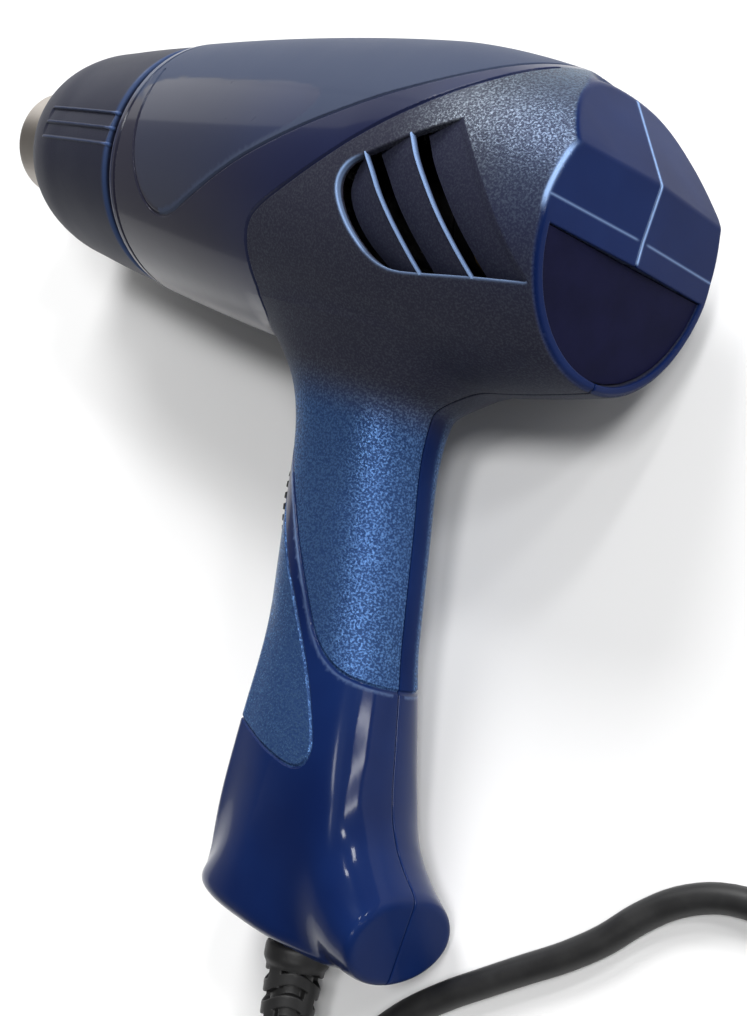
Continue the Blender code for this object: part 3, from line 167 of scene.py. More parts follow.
LEAD_LEAN = math.radians(11)
LEAD_EXIT = Axis((131.0, -181.0), (math.sin(LEAD_LEAN), -math.cos(LEAD_LEAN)))
SWITCH = Axis((81.4808, -76.0), (-0.2687, 0.9632))


class Path:
    """A line drawn on the side view, open or closed, in millimetres of X and Y."""

    def __init__(self, points: Sequence[tuple[float, float]], closed: bool = False, smooth: int = 0) -> None:
        """Keep the line's points, with corners rounded by repeated cutting.

        Args:
            points: its corners, in order.
            closed: whether the last corner joins the first.
            smooth: how many times the corners are cut.
        """
        row = [np.array(point, float) for point in points]
        # Of a closed line, row[:closed] is the first point, which follows the last. Of an open one it is empty.
        for _ in range(smooth):
            cut = [mix for a, b in zip(row, row[1:] + row[:closed])
                   for mix in (a * 0.75 + b * 0.25, a * 0.25 + b * 0.75)]
            row = cut if closed else [row[0], *cut[1:-1], row[-1]]
        self.starts = np.array(row if closed else row[:-1])
        self.ends = np.array(row[1:] + row[:closed])
        self.closed = closed

    def distance(self, x: Array, y: Array) -> Array:
        """Distance to the line at places of the side view, less than zero within a closed one.

        Args:
            x: places along the barrel.
            y: heights over the barrel's axis.

        Returns:
            The distance at each place.
        """
        away = np.full(x.shape, np.inf)
        within = np.zeros(x.shape, bool)
        for (ax, ay), (bx, by) in zip(self.starts, self.ends):
            run_x, run_y = bx - ax, by - ay
            share = np.clip(((x - ax) * run_x + (y - ay) * run_y) / (run_x ** 2 + run_y ** 2 + 1e-12), 0, 1)
            away = np.minimum(away, np.hypot(x - ax - share * run_x, y - ay - share * run_y))
            if self.closed and ay != by:
                within ^= ((ay > y) != (by > y)) & (x < (y - ay) * run_x / run_y + ax)
        return np.where(within, -away, away)

    def near(self, x: Array, y: Array, reach: float) -> Array:
        """Distance to the line, worked out only within a reach of its span.

        Args:
            x: places along the barrel.
            y: heights over the barrel's axis.
            reach: how far off the line the distance still matters.

        Returns:
            The distance at each place, at most the reach.
        """
        corners = np.concatenate((self.starts, self.ends))
        low, high = corners.min(0) - reach, corners.max(0) + reach
        found = np.full(x.shape, float(reach))
        span = (x > low[0]) & (x < high[0]) & (y > low[1]) & (y < high[1])
        found[span] = np.minimum(self.distance(x[span], y[span]), reach)
        return found


class Chart:
    """A value drawn on the side view and read between its dots."""

    low = (-6.0, -186.0)
    high = (166.0, 48.0)
    pitch = 0.16

    def __init__(self, draw: Callable[[Array, Array], Array]) -> None:
        """Draw the value at every dot."""
        x, y = (np.arange(a, b, self.pitch) for a, b in zip(self.low, self.high))
        self.dots = draw(*np.meshgrid(x, y, indexing="ij")).astype(np.float32)

    def __call__(self, x: Array, y: Array) -> Array:
        """Read the value at points of the side view.

        Args:
            x: places along the barrel.
            y: heights over the barrel's axis.

        Returns:
            The value at each point.
        """
        u, v = (np.clip((place - low) / self.pitch, 0, count - 1.001)
                for place, low, count in zip((x, y), self.low, self.dots.shape))
        i, j = u.astype(int), v.astype(int)
        s, t = u - i, v - j
        return ((self.dots[i, j] * (1 - s) + self.dots[i + 1, j] * s) * (1 - t)
                + (self.dots[i, j + 1] * (1 - s) + self.dots[i + 1, j + 1] * s) * t)


# Meshes


def slope_of(form: Distance, points: Array, step: float = 0.04) -> Array:
    """Slope of a form at points."""
    return np.stack([form(points + shift) - form(points - shift) for shift in np.eye(3) * step], -1) / (2 * step)


def unit(vectors: Array) -> Array:
    """Vectors of length 1 in the same directions."""
    return vectors / np.maximum(np.linalg.norm(vectors, axis=1), TINY)[:, None]


@dataclass(frozen=True)
class Mould:
    """How a form is meshed.

    The space from low to high holds it, in cells of a size.
    """

    low: tuple[float, float, float]
    high: tuple[float, float, float]
    cell: float
    rounds: int
    finest: float
    bend: float
    quick_cell: float = 0.0


@dataclass
class Net:
    """A triangle mesh on a form, in millimetres of the tool's frame."""

    points: Array
    faces: Array

    @staticmethod
    def of(form: Distance, mould: Mould) -> "Net":
        """Wrap a form in a surface net.

        Args:
            form: the form.
            mould: how it is meshed.

        Returns:
            The net, one point for each cell that the form's skin passes through.
        """
        step = mould.quick_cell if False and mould.quick_cell else mould.cell
        axes = [np.arange(a, b + step, step) for a, b in zip(mould.low, mould.high)]
        shape = tuple(len(axis) for axis in axes)
        y, z = (place.ravel() for place in np.meshgrid(axes[1], axes[2], indexing="ij"))
        values = np.stack([form(np.stack((np.full(y.shape, x), y, z), -1)).reshape(shape[1:]) for x in axes[0]])
        inside = values < 0
        corners = np.array(list(itertools.product((0, 1), repeat=3)))
        part = tuple(n - 1 for n in shape)
        count = sum(inside[tuple(slice(o, o + n) for o, n in zip(corner, part))].astype(np.int8)
                    for corner in corners)
        active = (count > 0) & (count < 8)
        number = np.full(part, -1, int)
        number[active] = np.arange(active.sum())
        cells = np.argwhere(active)
        total, crossings = np.zeros((len(cells), 3)), np.zeros(len(cells))
        for a, way in itertools.product(corners, np.eye(3, dtype=int)):
            if a @ way:
                continue
            at_a, at_b = (values[tuple((cells + corner).T)] for corner in (a, a + way))
            cross = (at_a < 0) != (at_b < 0)
            share = np.where(cross, at_a / np.where(cross, at_a - at_b, 1), 0)
            total += (a + np.outer(share, way)) * cross[:, None]
            crossings += cross
        points = np.array([axis[0] for axis in axes]) + step * (cells + total / crossings[:, None])
        faces = []
        for axis in range(3):
            b, c = (axis + 1) % 3, (axis + 2) % 3
            here, there = (inside[tuple(slice(o, n - 1 + o) if i == axis else slice(1, n - 1)
                                        for i, n in enumerate(shape))] for o in (0, 1))
            for start_inside in (True, False):
                found = np.argwhere((here == start_inside) & (there != start_inside))
                ring = []
                for move_b, move_c in ((0, 0), (1, 0), (1, 1), (0, 1)):
                    cell = found.copy()
                    cell[:, b] += move_b
                    cell[:, c] += move_c
                    ring.append(number[tuple(cell.T)])
                quad = np.stack(ring if start_inside else ring[::-1], -1)
                faces.append(quad[(quad >= 0).all(1)])
        quads = np.concatenate(faces)
        across, other = (np.linalg.norm(points[quads[:, i]] - points[quads[:, i + 2]], axis=1) for i in (0, 1))
        shorter = (across < other)[:, None]
        return Net(points, np.concatenate((np.where(shorter, quads[:, (0, 1, 2)], quads[:, (0, 1, 3)]),
                                           np.where(shorter, quads[:, (0, 2, 3)], quads[:, (1, 2, 3)]))))

    def settle(self, form: Distance, rounds: int = 4, since: int = 0) -> None:
        """Move the points from number since on onto the form's skin.

        Args:
            form: the form.
            rounds: how many times each point is moved.
            since: number of the first point that is moved.
        """
        points = self.points[since:]
        for _ in range(rounds):
            slope = slope_of(form, points)
            step = slope * (form(points) / np.maximum((slope * slope).sum(1), 0.05))[:, None]
            length = np.linalg.norm(step, axis=1)
            points = points - step * np.minimum(1, 0.7 / np.maximum(length, TINY))[:, None]
        self.points[since:] = points

    def refine(self, form: Distance, mould: Mould, line: Distance | None, keep: Distance | None) -> None:
        """Split the edges that bend or lie by a fine line, and settle the new points.

        Args:
            form: the form.
            mould: how it is meshed.
            line: distance to the fine lines, near which edges are kept short.
            keep: share, over 0 where the surface may be split.
        """
        shortest = 2 * mould.finest
        normals = unit(slope_of(form, self.points))
        for _ in range(mould.rounds - bool(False)):
            pairs = np.sort(self.faces[:, ((0, 1), (1, 2), (2, 0))].reshape(-1, 2), axis=1)
            edges, which = np.unique(pairs, axis=0, return_inverse=True)
            a, b = self.points[edges[:, 0]], self.points[edges[:, 1]]
            length = np.linalg.norm(a - b, axis=1)
            middle = (a + b) / 2
            split = (normals[edges[:, 0]] * normals[edges[:, 1]]).sum(1) < math.cos(math.radians(mould.bend))
            if line is not None:
                split |= length > np.maximum(shortest, 0.9 * line(middle))
            split &= length > shortest
            if keep is not None:
                split &= keep(middle) > 0
            if not split.any():
                break
            since = len(self.points)
            number = np.full(len(edges), -1, int)
            number[split] = since + np.arange(split.sum())
            self.points = np.concatenate((self.points, middle[split]))
            self.settle(form, 3, since)
            normals = np.concatenate((normals, unit(slope_of(form, self.points[since:]))))
            self.faces = split_faces(self.faces, number[which.reshape(-1, 3)])

    @staticmethod
    def moulded(form: Distance, mould: Mould, line: Distance | None = None,
                keep: Distance | None = None) -> tuple["Net", Array]:
        """Wrap a form, settle the net on it and refine it.

        Args:
            form: the form.
            mould: how it is meshed.
            line: distance to the fine lines, near which edges are kept short.
            keep: share, over 0 where the surface may be split.

        Returns:
            The net and the form's direction at each of its points.
        """
        net = Net.of(form, mould)
        net.settle(form)
        net.refine(form, mould, line, keep)
        return net, unit(slope_of(form, net.points))

    def directions(self) -> Array:
        """Direction at each point as the mean of its faces, weighted by their area.

        Returns:
            A vector of length 1 for each point.
        """
        a, b, c = (self.points[corner] for corner in self.faces.T)
        total, flat = np.zeros_like(self.points), np.cross(b - a, c - a)
        for corner in self.faces.T:
            np.add.at(total, corner, flat)
        return unit(total)

    def mirrored(self) -> "Net":
        """The same net on the tool's other side."""
        return Net(self.points * (1, 1, -1), self.faces[:, ::-1])


def split_faces(faces: Array, middles: Array) -> Array:
    """Part triangles at the new middle points of their edges.

    Args:
        faces: corner numbers of each triangle.
        middles: number of the new point on each of its edges, or -1.

    Returns:
        The corner numbers of the new triangles.
    """
    count = (middles >= 0).sum(1)
    made = [faces[count == 0]]
    for turn in range(3):
        order = [(turn + i) % 3 for i in range(3)]
        both = np.hstack((faces[:, order], middles[:, order]))
        first, second, third = (both[:, 3:] >= 0).T
        one, two = both[first & ~second & ~third], both[first & second & ~third]
        made += [one[:, (0, 3, 2)], one[:, (3, 1, 2)], two[:, (3, 1, 4)], two[:, (0, 3, 4)], two[:, (0, 4, 2)]]
    every = np.hstack((faces, middles))[count == 3]
    made += [every[:, row] for row in ((0, 3, 5), (3, 1, 4), (5, 4, 2), (3, 4, 5))]
    return np.concatenate(made)


def added(name: str, data: bpy.types.ID) -> bpy.types.Object:
    """Add an object of some data to the scene.

    Args:
        name: the object's name.
        data: its mesh, curve, light or camera.

    Returns:
        The object.
    """
    made = bpy.data.objects.new(name, data)
    bpy.context.collection.objects.link(made)
    return made


def mesh_piece(name: str, net: Net, normals: Array | None, material: bpy.types.Material,
               marks: dict[str, Array] | None = None) -> bpy.types.Object:
    """Make a scene piece from a net in the tool's frame.

    Args:
        name: the piece's name.
        net: its mesh.
        normals: the surface's direction at each point, or None to keep edges over 35 degrees sharp.
        material: its finish.
        marks: values at the points that the finish reads, by name.

    Returns:
        The piece, lying at rest.
    """
    mesh = bpy.data.meshes.new(name)
    mesh.vertices.add(len(net.points))
    mesh.vertices.foreach_set("co", laid(net.points).astype(np.float32).ravel())
    mesh.loops.add(net.faces.size)
    mesh.loops.foreach_set("vertex_index", net.faces.astype(np.int32).ravel())
    mesh.polygons.add(len(net.faces))
    mesh.polygons.foreach_set("loop_start", np.arange(0, net.faces.size, 3, dtype=np.int32))
    mesh.update(calc_edges=True)
    mesh.validate()
    for key, values in (marks or {}).items():
        mesh.attributes.new(key, "FLOAT", "POINT").data.foreach_set("value", values.astype(np.float32))
    mesh.shade_smooth()
    if normals is None:
        mesh.set_sharp_from_angle(angle=math.radians(35))
    else:
        mesh.normals_split_custom_set_from_vertices(turned_to_rest(normals).tolist())
    mesh.materials.append(material)
    log.info("%s: %d triangles", name, len(net.faces))
    return added(name, mesh)


# Shader graph


class Link:
    """The output of a shader node, on which Python's operators add Math nodes."""

    def __init__(self, graph: "Graph", socket: bpy.types.NodeSocket) -> None:
        """Keep the graph and the output socket."""
        self.graph = graph
        self.socket = socket

    def maths(self, operation: str, *values: "Link | float") -> "Link":
        """Add a Math node of an operation on values."""
        return self.graph.node("ShaderNodeMath", {"operation": operation}, dict(enumerate(values)))

    def __add__(self, other: "Link | float") -> "Link":
        """Sum."""
        return self.maths("ADD", self, other)

    def __mul__(self, other: "Link | float") -> "Link":
        """Product."""
        return self.maths("MULTIPLY", self, other)

    def __sub__(self, other: "Link | float") -> "Link":
        """Difference."""
        return self.maths("SUBTRACT", self, other)

    def __rsub__(self, other: "Link | float") -> "Link":
        """Difference from a number."""
        return self.maths("SUBTRACT", other, self)

    __radd__ = __add__
    __rmul__ = __mul__

    def between(self, low: float, high: float, start: float = 0.0, end: float = 1.0) -> "Link":
        """Smooth way from start at low to end at high."""
        return self.graph.node("ShaderNodeMapRange", {"interpolation_type": "SMOOTHSTEP"},
                               {"Value": self, "From Min": low, "From Max": high, "To Min": start, "To Max": end})


class Graph:
    """The node tree of a material or of the world."""

    def __init__(self, owner: bpy.types.Material | bpy.types.World, shader: str = "Principled BSDF",
                 place: str = "Object") -> None:
        """Start from the owner's own shader, with places read from an output of Texture Coordinate.

        Args:
            owner: the material or the world.
            shader: name of its shader's node.
            place: name of that output.
        """
        owner.use_nodes = True
        self.owner = owner
        self.tree = owner.node_tree
        self.shader = self.tree.nodes[shader]
        self.place = self.node("ShaderNodeTexCoord", output=place)

    def node(self, kind: str, settings: dict | None = None, inputs: dict | None = None,
             output: str | int = 0) -> Link:
        """Add a node.

        Args:
            kind: Blender's name of the node's type.
            settings: its settings, and "stops" for a ramp's (place, colour) rows.
            inputs: a value or link for each socket, by name or number.
            output: the output that is wanted.

        Returns:
            The link from that output.
        """
        made = self.tree.nodes.new(kind)
        for key, value in (settings or {}).items():
            if key == "stops":
                while len(made.color_ramp.elements) < len(value):
                    made.color_ramp.elements.new(0.5)
                for element, (place, colour) in zip(made.color_ramp.elements, value):
                    element.position, element.color = place, (*colour, 1)
            else:
                setattr(made, key, value)
        for key, value in (inputs or {}).items():
            self.feed(made.inputs[key], value)
        return Link(self, made.outputs[output])

    def feed(self, socket: bpy.types.NodeSocket, value: object) -> None:
        """Give a socket a link, or else a number, colour or vector.

        Args:
            socket: the socket.
            value: what it gets.
        """
        if isinstance(value, Link):
            self.tree.links.new(value.socket, socket)
        elif isinstance(value, tuple) and socket.type == "RGBA":
            socket.default_value = (*value, 1)[:4]
        else:
            socket.default_value = value

    def mix(self, share: Link | float, low: object, high: object) -> Link:
        """Colour between two colours."""
        return self.node("ShaderNodeMix", {"data_type": "RGBA"}, {0: share, 6: low, 7: high}, 2)

    def noise(self, scale: float, detail: float = 2, roughness: float = 0.5, place: Link | None = None) -> Link:
        """Noise of a scale per metre, as a number about 0.5."""
        return self.node("ShaderNodeTexNoise", {}, {"Vector": place or self.place, "Scale": scale,
                                                    "Detail": detail, "Roughness": roughness})

    def mark(self, name: str) -> Link:
        """A value kept at the mesh's points."""
        return self.node("ShaderNodeAttribute", {"attribute_name": name}, {}, "Fac")

    def stretched(self, scale: tuple[float, float, float]) -> Link:
        """The place, stretched along the axes."""
        return self.node("ShaderNodeMapping", {}, {"Vector": self.place, "Scale": scale})

    def bump(self, height: Link, distance: float, strength: float = 1.0, under: Link | None = None) -> Link:
        """A Bump node of a height in metres, on another one where that is given."""
        below = {"Normal": under} if under else {}
        return self.node("ShaderNodeBump", {}, {"Height": height, "Distance": distance, "Strength": strength, **below})

    def dress(self, **sockets: object) -> bpy.types.ID:
        """Give the shader's sockets, named with underscores, their values and links, and return the owner.

        Args:
            sockets: the value or link of each socket.

        Returns:
            The material or the world.
        """
        for name, value in sockets.items():
            self.feed(self.shader.inputs[name.replace("_", " ")], value)
        return self.owner


class Finish:
    """A finish that makes its material, named by its title, once."""

    title: str
    made: dict[str, bpy.types.Material] = {}

    def paint(self, graph: Graph) -> bpy.types.Material:
        """Fill the graph. Each finish has its own way."""
        raise NotImplementedError

    @property
    def material(self) -> bpy.types.Material:
        """The finished material.

        Returns:
            The material, made when it is first asked for.
        """
        if self.title not in self.made:
            self.made[self.title] = self.paint(Graph(bpy.data.materials.new(self.title)))
        return self.made[self.title]


@dataclass(frozen=True)
class NavyHousing(Finish):
    """Moulded navy plastic. The marks say where it is glossy, grained and greyish, and where highlights and sheen are
    painted on in pale blue.
    """

    title: str = "NavyHousing"
    blue: Colour = (0.0028, 0.0095, 0.054)
    blue_light: Colour = (0.0045, 0.0155, 0.078)
    grey: Colour = (0.0195, 0.019, 0.034)
    flake_blue: Colour = (0.095, 0.2, 0.42)
    flake_grey: Colour = (0.17, 0.195, 0.22)
    # Pale blue of the painted highlights and painted sheen.
    painted_highlight: Colour = (0.3, 0.45, 0.76)
    sheen: Colour = (0.6, 0.8, 1.0)
    index: float = 1.13
    coat_index: float = 1.26
    coat_roughness: float = 0.09
    grain_scale: float = 1800.0

    def paint(self, graph: Graph) -> bpy.types.Material:
        """Colour by depth of blue, roughness, coat and bump by the marks.

        Args:
            graph: the material's nodes.

        Returns:
            The material.
        """
        gloss, grain, body, edge = (graph.mark(name) for name in ("gloss", "grain", "body", "edge"))
        speck = graph.noise(self.grain_scale, 2.5, 0.6)
        navy = graph.mix(graph.noise(22, 3).between(0.35, 0.7), self.blue, self.blue_light)
        smooth = graph.mix(body, navy, self.grey)
        flaked = graph.mix(body, self.flake_blue, self.flake_grey)
        glitter = (0.2 + speck.between(0.42, 0.68) * 0.8) * grain * (1 - edge)
        # The edge mark mixes in a pale blue that is painted light: painted highlights along lips, seams, the skin's
        # step and the vent's rim, and painted sheen over the barrel's top and the film.
        colour = graph.mix(edge, graph.mix(glitter * 0.75, smooth, flaked), self.painted_highlight)
        smear = graph.noise(60, 4, 0.65, graph.stretched((1, 1, 0.35)))
        rough = 0.5 - 0.2 * gloss - grain * 0.22 + (smear - 0.5) * 0.12 + (speck - 0.5) * grain * 0.25 - edge * 0.15
        skin = graph.bump(graph.noise(210, 1), 0.00002, 0.5)
        pits = graph.bump(speck * grain, 0.0002, 1.0, skin)
        matt = graph.bump(graph.noise(self.grain_scale * 2.6, 2) * (1 - gloss), 0.00004, 0.5, pits)
        return graph.dress(Base_Color=colour, Roughness=rough, Normal=matt, IOR=self.index,
                           Metallic=glitter * 0.8, Specular_Tint=self.sheen, Coat_IOR=self.coat_index,
                           Coat_Weight=gloss * 0.65 + edge * 0.3, Coat_Roughness=self.coat_roughness)


@dataclass(frozen=True)
class ShieldPlastic(Finish):
    """Heat-proof matt plastic, dark grey with a touch of navy, and its glossy lines, which carry a painted highlight.
    """

    title: str = "ShieldPlastic"
    dark: Colour = (0.0095, 0.0105, 0.023)
    light: Colour = (0.014, 0.0155, 0.031)
    # Light navy of the painted highlight on the ribs and the rear rim.
    painted_rib_highlight: Colour = (0.045, 0.08, 0.19)
    sheen: Colour = (0.7, 0.8, 1.0)
    index: float = 1.25

    def paint(self, graph: Graph) -> bpy.types.Material:
        """Fine matt texture, with glossy ribs and rim coloured by a painted highlight.

        Args:
            graph: the material's nodes.

        Returns:
            The material.
        """
        gloss = graph.mark("gloss")
        colour = graph.mix(gloss, graph.mix(graph.noise(30, 3), self.dark, self.light), self.painted_rib_highlight)
        fine = graph.noise(1500, 3, 0.6)
        rough = 0.5 + 0.1 * (graph.noise(80, 3) - 0.5) - gloss * 0.22
        return graph.dress(Base_Color=colour, Roughness=rough, IOR=self.index, Specular_Tint=self.sheen,
                           Normal=graph.bump(fine * (1 - gloss), 0.00005, 0.7))


@dataclass(frozen=True)
class NozzleSteel(Finish):
    """Bright steel tube, browned by the heat towards its mouth."""

    title: str = "NozzleSteel"
    browning: tuple = ((0.0, (0.36, 0.33, 0.30)), (0.35, (0.30, 0.26, 0.22)),
                       (0.7, (0.22, 0.18, 0.14)), (1.0, (0.15, 0.12, 0.095)))

    def paint(self, graph: Graph) -> bpy.types.Material:
        """Heat tint along the tube, with drawn lines and stains.

        Args:
            graph: the material's nodes.

        Returns:
            The material.
        """
        stain = graph.noise(60, 4, 0.6)
        tone = graph.node("ShaderNodeValToRGB", {"stops": self.browning},
                          {"Fac": graph.mark("heat") + (stain - 0.5) * 0.5})
        lines = graph.noise(900, 2, 0.6, graph.stretched((0.12, 1, 1)))
        rough = 0.3 + 0.16 * stain + 0.1 * (lines - 0.5)
        return graph.dress(Base_Color=tone, Roughness=rough, Metallic=1.0,
                           Normal=graph.bump(lines, 0.00002, 0.5))


@dataclass(frozen=True)
class Plain(Finish):
    """A finish of two tones that drift over the surface, with a fine texture."""

    title: str
    low: Colour
    high: Colour
    rough: float
    metal: float = 0.0
    drift: float = 60.0
    texture: float = 1200.0
    depth: float = 0.00003
    index: float = 1.45

    def paint(self, graph: Graph) -> bpy.types.Material:
        """Two tones, uneven roughness and a fine texture.

        Args:
            graph: the material's nodes.

        Returns:
            The material.
        """
        cloud = graph.noise(self.drift, 4, 0.6)
        fine = graph.noise(self.texture, 3, 0.6)
        rough = self.rough + 0.14 * (cloud - 0.5) + 0.08 * (fine - 0.5)
        return graph.dress(Base_Color=graph.mix(cloud.between(0.3, 0.7), self.low, self.high),
                           Roughness=rough, Metallic=self.metal, IOR=self.index,
                           Normal=graph.bump(fine, self.depth, 0.6))


class Stock(Enum):
    """The plain finishes, one for each of the model's materials."""

    PLATE = Plain("BarePlate", (0.003, 0.0035, 0.018), (0.0045, 0.005, 0.024), 0.4, 0, 90, 900, 0.00001, 1.1)
    BLACK = Plain("BlackPlastic", (0.006, 0.006, 0.0065), (0.011, 0.011, 0.012), 0.42, 0, 60, 1200, 0.00003, 1.35)
    RUBBER = Plain("BlackRubber", (0.009, 0.009, 0.0095), (0.017, 0.017, 0.0175), 0.5, 0, 120, 1600, 0.00004)
    ZINC = Plain("ZincSteel", (0.42, 0.42, 0.43), (0.56, 0.55, 0.53), 0.32, 1.0, 150, 1500, 0.00002)
    MICA = Plain("MicaBoard", (0.23, 0.19, 0.13), (0.38, 0.33, 0.25), 0.38, 0, 420, 1400)
    WIRE = Plain("HeaterWire", (0.20, 0.17, 0.15), (0.34, 0.30, 0.27), 0.42, 1.0, 300, 2500, 0.00001)
    NYLON = Plain("WhiteNylon", (0.62, 0.60, 0.55), (0.72, 0.70, 0.66), 0.45, 0, 90, 1100, 0.00002)
    BOARD = Plain("CircuitBoard", (0.16, 0.105, 0.035), (0.22, 0.145, 0.05), 0.5, 0, 200, 1400, 0.00002)
    BRASS = Plain("Brass", (0.60, 0.45, 0.19), (0.70, 0.54, 0.26), 0.28, 1.0, 160, 1800, 0.00001)


# Housing

GROOVE_PANEL = (
    (6.7, 19.6), (8.7, 11.8), (10.2, 3.1), (12.8, -5.3), (15.6, -11.8), (18.9, -16.3), (22.9, -19.4),
    (27.8, -20.6), (32, -20.2), (36.2, -18.9), (47.8, -12.7), (57.4, -7), (66.7, -1.8), (76.4, 3.1), (86.8, 8.4),
    (97.2, 13.4), (107.7, 18.9), (114.6, 22.6), (121.7, 27.1), (126.4, 30.8), (131.2, 35.4), (133.5, 38))
# Number of the point where the panel's groove turns to run rearwards
PANEL_TURN = 7
GROOVE_SKIN = (
    (60, -46), (65, -41.7), (69.6, -39.4), (70.3, -36.5), (69.6, -31), (69.3, -24.5), (70.2, -19.6), (72.2, -16.3),
    (76.6, -12.9), (85.9, -7.2), (96.6, 0.2), (105.9, 7.4), (112.1, 12.4), (120.3, 19), (127.6, 25.4), (132.8, 31),
    (135.4, 35))
GROOVE_INLAY = (
    (60, -46), (67, -51), (76, -59), (85, -68.5), (94, -80), (101, -89.5), (106.5, -96.5), (111.4, -102.6),
    (116, -108.3), (121.3, -112.8), (127, -115.2), (133, -115.8), (142, -115.8))
GROOVE_GRIP = (
    (68, -62), (78, -70), (88, -81.5), (98, -94.5), (107, -104), (115, -113.5), (121, -121), (126, -128),
    (129.6, -134), (129.2, -138.5), (125, -140.5), (116, -140), (104, -137.5), (92, -134.5))
GROOVES = (GROOVE_PANEL, GROOVE_SKIN, GROOVE_INLAY, GROOVE_GRIP)
# Number of the inlay's groove in that row
INLAY = 2
FILM = (
    (3.5, 13), (13.2, 16.9), (37.2, 17.8), (58.8, 18.1), (75.7, 18.5), (82, 17.6), (84.6, 15.4), (84.4, 12.6),
    (80, 7), (66.7, 0), (47.8, -11), (36.2, -17.5), (27.8, -19.4), (21, -17), (15.6, -10.5), (11.6, 0), (8, 10))
VENT = (
    (105.7, 0.2), (103.9, -2.4), (103.4, -5.2), (104.6, -8.6), (107.8, -13), (111.6, -16.6), (116.2, -19.9),
    (121.7, -21.4), (129.7, -20.6), (144.3, -18.4), (156.2, -16.8), (158.4, -16.5), (157, -15), (154.2, -12),
    (149, -5.8), (143.6, 1), (138, 7.4), (132, 13.7), (130.8, 15), (129.2, 14.1), (125.9, 12.2), (120.6, 9.2),
    (116.6, 6.6), (110.1, 2.8))
VANES = (
    ((104.6, 3), (103.6, -2.4), (103.4, -5.2), (104.6, -8.6), (107.8, -13), (111.6, -16.6), (116.2, -19.9),
     (119, -22)),
    ((107, 5.6), (110.1, 2.4), (113.2, -0.9), (117.2, -5.7), (121.4, -10.3), (126, -15.2), (129.8, -19.4),
     (132.2, -22)),
    ((116, 14), (120.6, 9), (124.2, 4.4), (129.5, -1.6), (134.5, -7.3), (139.4, -12.6), (144.5, -18.2), (148, -22)),
    ((127, 18.4), (130.8, 15), (138, 7.4), (143.6, 1), (149, -5.8), (154.2, -12), (158.4, -16.5), (163, -22)),
)


